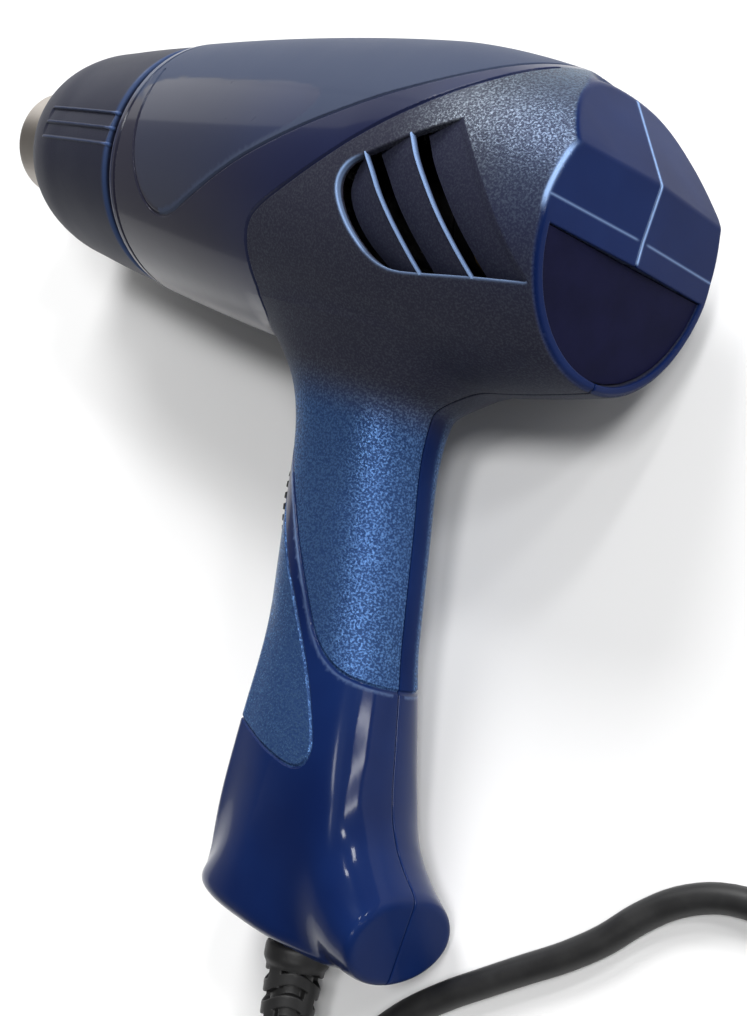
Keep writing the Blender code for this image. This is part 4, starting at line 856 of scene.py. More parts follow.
@dataclass
class Housing:
    """The two halves of the moulded housing, with vents, grooves, the tail cap and the stand's foot.

    A row of the handle is how far below the barrel's waist, its front and rear edge ahead of the tail,
    and half its thickness. A row of the heel is how far ahead of the tail, its top and bottom below the
    waist, and half its thickness. The wall is some times thicker than its plain thickness in the handle's
    column, the heel, the heel's front and the tail cap. The front ring and the lug have their place along
    the barrel first. The skin's step, at the sides and on top, is how far ahead of the facets the skin ends
    and how far the cap steps in there.
    """

    wall: float = 2.5
    length: float = 161.4
    front_radius: float = 37.1
    waist_radius: float = 43.3
    waist_at: float = 100.0
    rear_radius: float = 33.6
    curve: float = 1.7
    apex_height: float = 16.2
    lean: float = math.radians(38.5)
    sweep: float = math.radians(3.2)
    plate_top: float = -3.2
    border: float = 0.45
    border_top: float = 2.6
    plate_radius: float = 31.2
    plate_floor: float = 158.16
    parting: float = 0.15
    front_ring: tuple = (3.4, 0.6, 0.5)
    step_sides: tuple = (0.75, 0.6)
    step_top: tuple = (6.6, 1.9)
    thicker: tuple = (1.3, 2.2, 4.0, 2.3)
    bore: float = 30.0
    throat: tuple = (-17.0, 3.0)
    spigot_radius: float = 32.6
    spigot: tuple = (-14.0, 4.0)
    lug_radius: float = 33.8
    lug: tuple = (-10.0, 1.5, 4.1)
    handle_top: float = -30.0
    sole_drop: float = 137.7
    heel_front: float = 100.0
    column_round: float = 4.5
    heel_round: float = 2.2
    grip_blend: float = 7.0
    body_blend: float = 5.0
    hollow_blend: float = 4.0
    handle: tuple = ((-9.3, 107.4, 27.4, 28), (-1.3, 98.4, 36.4, 23), (6.7, 90.4, 44.4, 18.5),
                     (16.7, 84.4, 43.4, 16.5), (36.7, 78.8, 37.3, 15.5), (61.7, 71.9, 29.6, 15.5),
                     (86.7, 64.4, 21.4, 16), (108.7, 60.4, 16.4, 16.5), (126.7, 61.4, 14.4, 17),
                     (135.7, 63.9, 14.4, 16.6), (137.7, 62.4, 15.9, 16.2))
    heel: tuple = ((43.4, 56.7, 134.7, 13.5), (31.4, 65.7, 136, 15.8), (21.4, 87.2, 136.8, 17),
                   (16.4, 98.5, 137.2, 17.5), (11.4, 105.4, 137.3, 17.8), (7.4, 109.3, 137.2, 18),
                   (3.4, 112.3, 136.9, 18), (0, 114.6, 136.1, 17.9))
    bosses: tuple = ((14, 26.846), (14, -26.846), (128, 26.846), (139, -25.5037),
                     (109, -51), (121, -104), (107, -147), (151, -168))
    boss_radius: float = 4.4
    boss_end: float = 0.6
    well_radius: float = 3.3
    well_floor: float = 7.0
    squareness: float = 2.4
    cuts: tuple = ((0.5, 0.55), (0.55, 0.55), (0.6, 0.6), (0.5, 0.5))
    cut_reach: float = 3.0
    line_reach: float = 6.0
    vent_reach: float = 8.0
    skin_reach: float = 14.0
    grooves_cross_below: float = -60.0
    slots: tuple = (1.7, 2.2, 2.2)
    blade_depth: float = 3.2
    blade_wall: float = 1.3
    lip: float = 0.85
    vent_floor: float = 3.0
    entry_radius: float = 6.9
    entry_half: float = 8.0
    switch_slot: tuple = (12.3, 4.3, 4.0)
    mould: Mould = Mould((-15.5, -183, -1.3), (163.5, 45.5, 45.2), 1.05, 3, 0.2, 9, 1.6)

    def __post_init__(self) -> None:
        """Make the smooth rows of the handle and heel, and the charts of the side view."""
        drop, front, rear, half = np.array(self.handle[::-1]).T
        self.handle_rows = [smooth_row(-self.waist_radius - drop, row)
                            for row in (self.length - front, self.length - rear, half)]
        ahead, top, bottom, half = np.array(self.heel).T
        self.heel_rows = [smooth_row(self.length - ahead, row)
                          for row in (-self.waist_radius - top, -self.waist_radius - bottom, half)]
        self.grooves = [Path(points, smooth=2) for points in GROOVES]
        self.vent = Path(VENT, closed=True, smooth=2)
        self.vanes = [smooth_row([y for _, y in row[::-1]], [x for x, _ in row[::-1]]) for row in VANES]
        self.film = Path(FILM, closed=True, smooth=1)
        self.matt = Path([*GROOVE_SKIN[1:], (150, 60), (190, 60), (190, -115.8), *GROOVE_INLAY[:0:-1]], closed=True)
        self.grip = Path([*GROOVE_GRIP, (60, -134)], closed=True)
        self.depth = Chart(self.draw_depth)
        self.line = Chart(self.draw_line)
        self.opening = Chart(lambda x, y: self.vent.near(x, y, self.vent_reach))

    def radius(self, x: Array) -> Array:
        """Outer radius of the barrel.

        Args:
            x: places along the barrel.

        Returns:
            The radius at each place.
        """
        front = np.clip((self.waist_at - x) / self.waist_at, 0, None) ** self.curve
        rear = np.clip((x - self.waist_at) / (self.length - self.waist_at), 0, None) ** self.curve
        return (self.waist_radius - (self.waist_radius - self.front_radius) * front
                - (self.waist_radius - self.rear_radius) * rear)

    def facets(self, x: Array, y: Array, z: Array) -> Array:
        """Distance to the tail cap's facets on one side, with a border raised round the plate.

        Args:
            x: places along the barrel.
            y: heights over the barrel's axis.
            z: places to the left of the barrel's axis.

        Returns:
            The distance at each point.
        """
        values = []
        x = x - self.border * np.clip((self.border_top - y) / (self.border_top - self.plate_top), 0, 1)
        for lean in (0, self.lean):
            normal = np.array((math.cos(lean), math.sin(lean), math.sin(self.sweep)))
            normal /= np.linalg.norm(normal)
            values.append((x - self.length) * normal[0] + (y - self.apex_height) * normal[1] + z * normal[2])
        return soft_max(values[0], values[1], 0.5)

    def skin_step(self, y: Array, z: Array) -> tuple[Array, Array]:
        """How far the grained skin ends ahead of the cap's facets, and how far the cap steps in there."""
        low, top = 1 - ramp(y, self.apex_height - 3, self.apex_height + 2), crown(y, z) ** 14
        return tuple(side * low + crest * top for side, crest in zip(self.step_sides, self.step_top))

    def barrel(self, x: Array, y: Array, z: Array) -> Array:
        """Distance to the barrel: the grained skin, and the tail cap that steps in from it.

        Args:
            x: places along the barrel.
            y: heights over the barrel's axis.
            z: places to the left of the barrel's axis.

        Returns:
            The distance at each point.
        """
        r, facets = np.hypot(y, z), self.facets(x, y, z)
        out = r - self.radius(x)
        ahead, inset = self.skin_step(y, z)
        body = soft_min(soft_max(out, facets + ahead, 0.5), soft_max(out + inset, facets, 0.8), 0.25)
        plate = greatest(r - self.plate_radius, y - self.plate_top, self.plate_floor - x)
        body = soft_max(soft_max(body, -plate, 0.5), -x, 1.4)
        at, half, depth = self.front_ring
        return body + np.where(r > self.bore, depth * hump(x - at, half), 0)

    def column(self, x: Array, y: Array, z: Array) -> Array:
        """Distance to the handle's column.

        Args:
            x: places along the barrel.
            y: heights over the barrel's axis.
            z: places to the left of the barrel's axis.

        Returns:
            The distance at each point.
        """
        front, rear, half = (row(y) for row in self.handle_rows)
        off, power = x - (front + rear) / 2, self.squareness
        share = (np.abs(z) / half) ** power + (np.abs(off) / ((rear - front) / 2)) ** power
        return oval(z, off, (share + TINY) ** (1 / power))

    def heel_form(self, x: Array, y: Array, z: Array) -> Array:
        """Distance to the heel with the stand's foot.

        Args:
            x: places along the barrel.
            y: heights over the barrel's axis.
            z: places to the left of the barrel's axis.

        Returns:
            The distance at each point.
        """
        top, bottom, half = (row(x) for row in self.heel_rows)
        off = y - (top + bottom) / 2
        return oval(z, off, np.hypot(z / half, off / ((top - bottom) / 2)) + TINY)

    def outer(self, p: Array, inset: float = 0.0) -> Array:
        """Distance to the housing's outer form, or to the hollow in it.

        Args:
            p: points.
            inset: how far the form is drawn in.

        Returns:
            The distances.
        """
        x, y, z = p.T
        r = np.hypot(y, z)
        sole = -self.waist_radius - self.sole_drop
        column_wall, heel_wall, front_wall, cap_wall = (inset * share for share in self.thicker)
        column = soft_max(self.column(x, y, z) + column_wall,
                          np.maximum(y - self.handle_top, sole - y + inset), self.column_round)
        heel = soft_max(self.heel_form(x, y, z) + heel_wall,
                        np.maximum(x - self.length + inset, self.heel_front + front_wall - x), self.heel_round)
        grip = soft_min(column, heel, self.grip_blend)
        if inset:
            body = r - self.radius(x) + inset + 2.5 * crown(y, z) ** 8 * ramp(x, 112, 130)
            body = greatest(body, self.facets(x, y, z) + cap_wall, inset - x)
            throat = greatest(r - self.bore, x - self.throat[1], self.throat[0] - x)
            return np.minimum(soft_min(body, grip, self.hollow_blend), throat)
        spigot = greatest(r - self.spigot_radius, self.spigot[0] - x, x - self.spigot[1])
        at, half_length, half_width = self.lug
        lug = np.maximum(r - self.lug_radius, box((x - at, half_length), (z, half_width)))
        return least(soft_min(self.barrel(x, y, z), grip, self.body_blend), spigot, lug)

    def draw_depth(self, x: Array, y: Array) -> Array:
        """Draw how deep the fine grooves are cut."""
        return greatest(*(deep * hump(path.near(x, y, self.cut_reach), half)
                          for path, (deep, half) in zip(self.grooves, self.cuts)))

    def draw_line(self, x: Array, y: Array) -> Array:
        """Draw the distance to the fine lines of the side view."""
        return least(*(np.abs(path.near(x, y, self.line_reach)) for path in (*self.grooves, self.vent)))

    def grooved(self, y: Array, z: Array) -> Array:
        """Where the fine grooves run: up to near the seam on the barrel, and over it on the handle."""
        return z > np.where(y < self.grooves_cross_below, -2.0, 2.0)

    def form(self, side: int) -> Distance:
        """The moulding of one side, with that side turned to +Z.

        Args:
            side: 1 for the left half, -1 for the right half with the screws' wells.

        Returns:
            Its distance.
        """
        def distance(p: Array) -> Array:
            """Distance to this side's moulding.

            Args:
                p: points.

            Returns:
                The distance at each point.
            """
            x, y, z = p.T
            outer = self.outer(p)
            close = np.abs(outer) < self.skin_reach
            cut, opening = np.zeros(len(p)), np.full(len(p), self.vent_reach)
            cut[close] = self.depth(x[close], y[close]) * self.grooved(y[close], z[close])
            opening[close] = self.opening(x[close], y[close])
            shell = np.maximum(outer + cut, -self.outer(p, self.wall))
            shell = soft_max(shell, -np.maximum(opening, self.vent_floor - z), 0.5)
            boss = least(*(np.hypot(x - at_x, y - at_y) for at_x, at_y in self.bosses))
            shell = np.minimum(shell, np.maximum(boss - self.boss_radius, outer + self.boss_end))
            if side < 0:
                well = soft_max(boss - self.well_radius, self.well_floor - z, 0.3)
                shell = soft_max(shell, -well, 0.5)
            along, off = LEAD_EXIT.read(p)
            entry = np.maximum(np.hypot(off, z) - self.entry_radius, np.abs(along) - self.entry_half)
            shell = np.maximum(shell, -entry)
            run, out = SWITCH.read(p)
            shell = soft_max(shell, -box(*zip((run, z, out), self.switch_slot)), 0.3)
            return soft_max(shell, self.parting - z, 0.5)
        return distance

    def fine_line(self, p: Array) -> Array:
        """Distance to the lines that need short edges: grooves, vents, the tail's crease and the seam.

        Args:
            p: points.

        Returns:
            The distance at each point.
        """
        x, y, z = p.T
        drawn = np.where(self.grooved(y, z), self.line(x, y), self.line_reach)
        crease = np.abs(y - self.border_top) + np.where(x > 158, 0, self.line_reach)
        return least(drawn, crease, np.maximum(np.abs(z - self.parting), 0.35))

    def marks(self, net: Net, side: int) -> dict[str, Array]:
        """Say where the skin is glossy, grained and greyish, and where highlights and sheen are painted on.

        Args:
            net: the half, with its side turned to +Z.
            side: 1 for the left half, -1 for the right half.

        Returns:
            The marks gloss, grain, body and edge at each point; edge is the share of painted highlight and painted
            sheen.
        """
        x, y, z = net.points.T
        out, facets = np.hypot(y, z) - self.radius(x), self.facets(x, y, z)
        ahead, off_matt = self.skin_step(y, z)[0], self.matt.distance(x, y)
        skin = ramp(-(facets + np.maximum(ahead, 0.5)), -0.25, 0.25)
        matt = ramp(-off_matt, -0.1, 0.2) * skin
        panel_x, panel_y = np.array(GROOVE_PANEL[PANEL_TURN:]).T
        above = ramp(y - np.interp(x, panel_x, panel_y), 0, 0.3) * (x > panel_x[0]) * skin
        above = np.maximum(above, (x <= panel_x[0]) * ramp(y, 8, 12))
        film = ramp(-self.film.distance(x, y), -0.2, 0.2)
        grip = ramp(-self.grip.distance(x, y), -0.1, 0.2)
        gloss = np.clip(1 - matt - above - 0.75 * (1 - skin), 0, 1)
        gloss = greatest(gloss, film, ramp(-x, -3.8, -3.2) * 0.9) * (1 - 0.8 * grip)
        # Painted shade: on the right half's lower handle the grain and its lighter glitter are left off a band by the
        # seam, where that face, turned from the light, looks smooth and dark.
        grain_kept_out_of_shade = ramp(z, 5, 7) if side < 0 else 1.0
        lower = ramp(-y, 44, 52)
        # Painted shade: most of the grain's lighter glitter is left off the barrel's lower sides and its front part,
        # so they stay dark as if unlit.
        painted_shade_zone = np.maximum(ramp(-y, -20, 10), ramp(-x, -132, -112)) * ramp(y, -60, -42)
        grain = np.clip(matt * (1 - lower + lower * grain_kept_out_of_shade) + grip, 0, 1) * (1 - 0.8 * painted_shade_zone)
        body = ramp(y, -58, -44)
        body = body * (1 - 0.3 * ramp(x, 125, 158) * ramp(y, -30, 0)) * skin * ramp(x, 0.5, 2.5)
        body = body * (1 - 0.5 * gloss * ramp(x, 30, 100))
        outside = ramp(out, -1.6, -1.1)
        # Painted highlight along the skin's step onto the tail cap, on its upper part only.
        step = glow(facets + ahead, 0.35) * ramp(-y, -self.apex_height, 4 - self.apex_height) * outside
        # Painted highlight along the seam on the tail cap.
        seam = glow(np.maximum(z - self.parting, 0), 0.32) * ramp(facets, -0.5, -0.1) * ramp(y, -3, -2)
        # Painted highlight along the crease of the plate's raised border.
        crease = glow(y - self.border_top, 0.25) * ramp(facets, -0.4, -0.1) * ramp(z, 1, 3)
        # The vent's rim gets a painted highlight on its front and bottom, where light catches it, and none on its top
        # and rear.
        front = np.maximum(ramp(-x, -118, -112) * ramp(-y, -3, 1), 0.5 * ramp(-y, 15.5, 17.5))
        vent = glow(self.opening(x, y) - 0.25, 0.3) * outside * (z > self.vent_floor) * front
        # Painted highlight on the inlay's bevel below its groove, on the lower handle, fading towards the rear.
        inlay = glow(self.grooves[INLAY].near(x, y, self.cut_reach) - 0.9, 0.28) * ramp(off_matt, 0.2, 0.6)
        inlay = inlay * ramp(-y, 62, 75) * (z > 2) * (1 - 0.6 * ramp(x, 100, 112))
        # edge sums these painted highlights with a painted sheen over the barrel's top and over the film.
        edge = (step * ramp(y, -2, 3) + 0.08 * above * (1 - film) + 0.03 * film + seam
                + 0.35 * crease + 0.8 * vent + 0.4 * inlay)
        return {"gloss": gloss, "grain": grain, "body": body, "edge": np.clip(edge, 0, 1)}

    def build(self) -> list[bpy.types.Object]:
        """Make both halves, each riding on the housing.

        Returns:
            The two halves and their louvre blades.
        """
        finish = NavyHousing().material
        pieces = []
        for side, name, node in ((1, "left_shell", "left_housing"), (-1, "right_shell", "right_housing")):
            net, normals = Net.moulded(self.form(side), self.mould, self.fine_line, lambda p: self.outer(p) + 2.2)
            marks = self.marks(net, side)
            if side < 0:
                net, normals = net.mirrored(), normals * (1, 1, -1)
            piece = mesh_piece(name, net, normals, finish, marks)
            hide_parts(node)
            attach(piece, "housing")
            pieces += [piece, *self.louvres(side, finish)]
        return pieces

    def blade(self, bay: int) -> Net:
        """Make one louvre blade of the left vent, which rises from its slot to the next edge.

        Args:
            bay: number of the bay, from the front.

        Returns:
            The closed blade.
        """
        start, end, slot = self.vanes[bay], self.vanes[bay + 1], self.slots[bay]
        last = bay == len(self.slots) - 1
        heights = np.arange(-24, 18, 0.1)
        across = np.concatenate((np.linspace(0, 0.86, 14), np.linspace(0.88, 1, 9)))
        rows, count = len(across), 48
        sheets = [[], []]
        for share in across:
            x = start(heights) + slot + share * (end(heights) - start(heights) - slot)
            held = heights[self.vent.distance(x, heights) < 0.6]
            y = np.linspace(held.min(), held.max(), count)
            x = start(y) + slot + share * (end(y) - start(y) - slot)
            depth = self.blade_depth * (1 - share) ** 1.1 + 0.3
            if last:
                depth = depth - 0.3 * ramp(share, 0.8, 1)
            else:
                depth = depth - (depth + 0.05) * ramp(x - end(y), -self.lip - 0.35, -self.lip + 0.25)
            for sheet, deep in zip(sheets, (depth, depth + self.blade_wall)):
                r = self.radius(x) - deep
                sheet.append(np.stack((x + 0.4 * last * share, y, np.sqrt(r * r - y * y)), -1))
        points = np.concatenate([np.concatenate(sheet) for sheet in sheets])
        top = np.arange(rows * count).reshape(rows, count)
        ring = np.array([*top[0], *top[1:, -1], *top[-1, -2::-1], *top[-2:0:-1, 0]])
        after = np.roll(ring, -1)
        upper = np.stack((top[:-1, :-1], top[1:, :-1], top[1:, 1:], top[:-1, 1:]), -1).reshape(-1, 4)
        under = upper[:, (0, 3, 2, 1)] + rows * count
        rim = np.stack((ring, after, after + rows * count, ring + rows * count), -1)
        quads = np.concatenate((upper, under, rim))
        return Net(points, np.concatenate((quads[:, :3], quads[:, (0, 2, 3)])))

    def louvres(self, side: int, finish: bpy.types.Material) -> list[bpy.types.Object]:
        """Make the louvre blades of one side's vent.

        Args:
            side: 1 for the left vent, -1 for the right vent.
            finish: the housing's finish.

        Returns:
            The blades, from the front.
        """
        pieces = []
        for bay in range(len(self.slots)):
            net = self.blade(bay)
            x, y, z = net.points.T
            lip = ramp(x - self.vanes[bay + 1](y), -self.lip - 0.2, -self.lip + 0.1) * (bay < len(self.slots) - 1)
            lip = lip * (np.hypot(y, z) > self.radius(x) - 1.2)
            # The lip's edge mark lays a painted highlight along each blade's outer edge.
            marks = {"gloss": lip * 0.5, "grain": 0 * x + 0.15, "body": 0.9 - 0.9 * lip, "edge": lip * 0.75}
            piece = mesh_piece(f"{'left' if side > 0 else 'right'}_louvre_{bay + 1}",
                               net if side > 0 else net.mirrored(), None, finish, marks)
            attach(piece, "housing")
            pieces.append(piece)
        return pieces


# Heat shield and nozzle


@dataclass
class HeatShield:
    """The sleeve round the nozzle, with ribbed finger pads on its sides."""

    outline: tuple = ((-63, 22.6), (-62, 23.9), (-57, 27.2), (-46, 31), (-34, 32.8), (-23, 34.2), (-4.4, 36.2))
    front: float = -63.0
    rear: float = -3.6
    wall: float = 2.2
    mouth: float = 18.4
    bore: float = 33.2
    seat_from: float = -17.0
    taper: float = math.radians(12)
    nose_from: float = -57.0
    nose_slope: float = 0.72
    rib_pitch: float = 4.6
    step_depth: float = 0.62
    ridge: float = 0.32
    mould: Mould = Mould((-65, -38.3, -38.3), (-2, 38.3, 38.3), 0.95, 3, 0.22, 10, 1.5)

    def __post_init__(self) -> None:
        """Make the smooth outline."""
        self.radius = smooth_row(*zip(*self.outline))

    def off_skin(self, p: Array) -> Array:
        """How far points are out from the outline."""
        return np.hypot(p[:, 1], p[:, 2]) - self.radius(p[:, 0])

    def off_rib(self, y: Array) -> Array:
        """How far heights are off the nearest of the three ribs."""
        return np.abs(y - self.rib_pitch * np.clip(np.round(y / self.rib_pitch), -1, 1))

    def pads(self, x: Array, y: Array, z: Array) -> tuple[Array, Array]:
        """Depth of the two steps of the finger pads, and height of the ridges along them.

        Args:
            x: places along the barrel.
            y: heights over the barrel's axis.
            z: places to the left of the barrel's axis.

        Returns:
            The depth and the height at each point.
        """
        along = ramp(x, -46.6 + 0.2 * y, -44.6 + 0.2 * y) * (np.abs(z) > 10)
        height = (self.rib_pitch - y) / self.rib_pitch
        share = height % 1
        within = (height > 0) & (height < 2)
        step = self.step_depth * np.clip(share / 0.12, 0, 1) * (1 - share) * within * np.where(height < 1, 1, 0.75)
        bead = glow(x - self.rear - 1.2, 1.3)
        ridge = (self.ridge + 0.25 * bead) * hump(self.off_rib(y), 0.5 + 0.45 * bead)
        return step * along * ramp(-x, 4, 5), ridge * along

    def form(self, p: Array) -> Array:
        """Distance to the shield.

        Args:
            p: points.

        Returns:
            The distance at each point.
        """
        x, y, z = p.T
        r = np.hypot(y, z)
        out = self.off_skin(p) * np.where(x < self.nose_from, self.nose_slope, math.cos(self.taper))
        body = soft_max(out, np.maximum(self.front - x, x - self.rear), 1.3)
        step, ridge = self.pads(x, y, z)
        body = body + np.where(out > -1.5, step - ridge, 0)
        wall = self.wall * (1 + 1.1 * ramp(-x, 50, 58))
        inner = soft_max(r - (self.radius(np.minimum(x, self.seat_from)) - wall),
                         self.front + self.wall - x, 1.0)
        hollow = np.where(x > self.seat_from, r - self.bore, np.minimum(inner, r - self.mouth))
        return soft_max(body, -hollow, 0.5)

    def fine_line(self, p: Array) -> Array:
        """Distance to the ribs, where the edges are kept short."""
        return np.maximum(self.off_rib(p[:, 1]), 0.5) + np.where((p[:, 0] > -49) & (np.abs(p[:, 2]) > 20), 0, 6)

    def build(self) -> bpy.types.Object:
        """Make the shield, riding on its own body.

        Returns:
            The shield.
        """
        net, normals = Net.moulded(self.form, self.mould, self.fine_line, lambda p: self.off_skin(p) + 2.6)
        x, y, z = net.points.T
        out = self.off_skin(net.points)
        lines = ramp(self.pads(x, y, z)[1], 0.1, 0.3) * (out > -0.6)
        rear_rim = ramp(x, self.rear - 1.6, self.rear - 0.5) * ramp(out, -1.4, -0.6)
        # gloss marks the glossy ribs and rear rim; the finish also paints a highlight colour on them, strongest at the
        # ribs' rear ends.
        gloss = np.clip(lines * (0.3 + 0.7 * ramp(x, -8, -5)) + rear_rim * 0.6, 0, 1)
        piece = mesh_piece("shield_sleeve", net, normals, ShieldPlastic().material, {"gloss": gloss})
        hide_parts("heat_shield")
        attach(piece, "shield")
        return piece


@dataclass
class Nozzle:
    """The steel tube that the hot air leaves by, the corners of its mouth rounded off."""

    tip: float = -83.5
    rear: float = 34.0
    radius: float = 16.85
    wall: float = 0.8
    rounding: float = 0.3
    sides: int = 128
    browned: float = 34.0

    def turned(self, outline: Sequence[tuple[float, float]]) -> Net:
        """Turn a closed outline round the barrel's axis, with its corners rounded.

        Args:
            outline: places along the barrel and radii, clockwise with X to the right and the radius up.

        Returns:
            The turned net.
        """
        row = [np.array(corner, float) for corner in outline]
        soft = []
        for before, here, after in zip(row[-1:] + row[:-1], row, row[1:] + row[:1]):
            back, on = before - here, after - here
            reach = min(self.rounding, np.linalg.norm(back) * 0.45, np.linalg.norm(on) * 0.45)
            a, b = here + back / np.linalg.norm(back) * reach, here + on / np.linalg.norm(on) * reach
            soft += [(1 - t) ** 2 * a + 2 * t * (1 - t) * here + t * t * b for t in (0, 0.25, 0.5, 0.75, 1)]
        x, r = np.array(soft).T
        points = np.concatenate([np.stack((x, r * math.cos(a), r * math.sin(a)), -1)
                                 for a in np.arange(self.sides) * 2 * math.pi / self.sides])
        here = np.arange(len(points)).reshape(self.sides, -1)
        there = np.roll(here, -1, 0)
        quads = np.stack((here, there, np.roll(there, -1, 1), np.roll(here, -1, 1)), -1).reshape(-1, 4)
        return Net(points, quads[:, (0, 1, 2, 0, 2, 3)].reshape(-1, 3))

    def build(self) -> bpy.types.Object:
        """Make the tube.

        Returns:
            The tube.
        """
        inner = self.radius - self.wall
        steps = np.linspace(self.tip + 2.2, self.rear - 1, 40)
        outline = [(self.tip, inner + 0.1), (self.tip, self.radius - 0.05), (self.tip + 1.4, self.radius)]
        outline += [(x, self.radius) for x in steps] + [(self.rear, self.radius), (self.rear, inner)]
        outline += [(x, inner) for x in steps[::-1]] + [(self.tip + 1.4, inner)]
        net = self.turned(outline[::-1])
        x, y, z = net.points.T
        heat = np.clip(1 - (x - self.tip) / self.browned, 0, 1) ** 1.4
        heat = np.where(np.hypot(y, z) < self.radius - 0.3, 1, heat)
        piece = mesh_piece("nozzle_pipe", net, net.directions(), NozzleSteel().material, {"heat": heat})
        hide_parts("nozzle_tube")
        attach(piece, "housing")
        return piece


# Switch, cord entry, lead and plug


@dataclass
class Slider:
    """The slide switch's knob with its grip ribs, and the shoe behind the handle's wall."""

    rest: float = -6.0
    knob: tuple = (16.0, 3.2, 11.0)
    neck: tuple = (12.0, 8.0)
    shoe: tuple = (38.0, 1.4, 12.6)
    shoe_depth: float = 4.4
    bow: float = 0.012
    rib_pitch: float = 3.0
    rib_half: float = 0.75
    rib_cut: float = 0.8
    mould: Mould = Mould((72, -104, -7.5), (98, -60, 7.5), 0.7, 2, 0.15, 12)

    def form(self, p: Array) -> Array:
        """Distance to the slider.

        Args:
            p: points.

        Returns:
            The distance at each point.
        """
        along, out = SWITCH.read(p)
        run, z = along - self.rest, p[:, 2]
        crest = self.knob[1] - self.bow * run ** 2
        knob = soft_max(box((run, self.knob[0] / 2), (z, self.knob[2] / 2)),
                        np.maximum(out - crest, 0.3 - out), 1.6)
        rib = np.abs((run + self.rib_pitch / 2) % self.rib_pitch - self.rib_pitch / 2)
        knob = knob + np.where((out > 1) & (np.abs(run) < 6.5), self.rib_cut * hump(rib, self.rib_half), 0)
        neck = greatest(box((run, self.neck[0] / 2), (z, self.neck[1] / 2)), out - 2, -out - self.shoe_depth - 1)
        shoe = soft_max(box((run, self.shoe[0] / 2), (z, self.shoe[2] / 2)),
                        box((out + self.shoe_depth + self.shoe[1] / 2, self.shoe[1] / 2)), 0.4)
        return soft_min(knob, np.minimum(neck, shoe), 0.3)

    def build(self) -> bpy.types.Object:
        """Make the slider, riding on the switch's body.

        Returns:
            The slider.
        """
        piece = mesh_piece("switch_knob", *Net.moulded(self.form, self.mould), Stock.BLACK.value.material)
        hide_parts("switch_slider")
        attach(piece, "switch")
        return piece


@dataclass
class StrainRelief:
    """The rubber sleeve of the cord's exit: a collar under the sole and a ribbed taper."""

    hole: float = 3.65
    neck: float = 6.6
    flange: float = 2.0
    collar: float = 8.4
    collar_length: float = 5.0
    length: float = 37.8
    top: float = 7.4
    end: float = 5.0
    ribs: int = 7
    rib_share: float = 0.42
    rib_lead: float = 0.55
    wall: float = 2.5
    mould: Mould = Mould((119, -229, -11.2), (150, -170, 11.2), 0.75, 2, 0.18, 12)

    def form(self, p: Array) -> Array:
        """Distance to the strain relief.

        Args:
            p: points.

        Returns:
            The distance at each point.
        """
        gap = 0.3 + self.collar * math.tan(LEAD_LEAN)
        inner_end = -self.wall - 2 * gap
        start = gap + self.collar_length
        finish = start + self.length
        pitch = self.length / self.ribs
        (along, across), z = LEAD_EXIT.read(p), p[:, 2]
        r, turn = np.hypot(across, z), np.arctan2(z, across)
        collar = soft_max(r - self.collar + 0.02 * (along - gap), np.maximum(gap - along, along - start), 1.6)
        share = np.clip((along - start) / self.length, 0, 1)
        sleeve = greatest(r - (self.top + (self.end - self.top) * share), along - finish, start - 1 - along)
        phase = (along - start + 0.35 * pitch * np.sin(2 * turn)) % pitch
        ring = greatest(self.rib_lead - phase, phase - self.rib_lead - self.rib_share * pitch, start + 1.0 - along)
        bridge = np.abs(np.mod(turn + np.floor((along - start) / pitch) * math.pi / 2, math.pi) - math.pi / 2)
        notch = soft_max(soft_max(ring, -(r - (self.hole + 1.15)), 0.4), (0.3 - bridge) * 6, 0.4)
        sleeve = soft_max(sleeve, -np.maximum(notch, along - finish + 2.2), 0.5)
        throat = greatest(r - self.neck, along - gap - 1, inner_end - along)
        lip = greatest(r - self.neck - self.flange, along - inner_end, inner_end - self.flange - along)
        return soft_max(least(soft_min(collar, sleeve, 1.2), throat, lip), self.hole - r, 0.5)

    def build(self) -> bpy.types.Object:
        """Make the strain relief.

        Returns:
            The strain relief.
        """
        piece = mesh_piece("entry_sleeve", *Net.moulded(self.form, self.mould), Stock.RUBBER.value.material)
        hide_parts("strain_relief")
        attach(piece, "housing")
        return piece


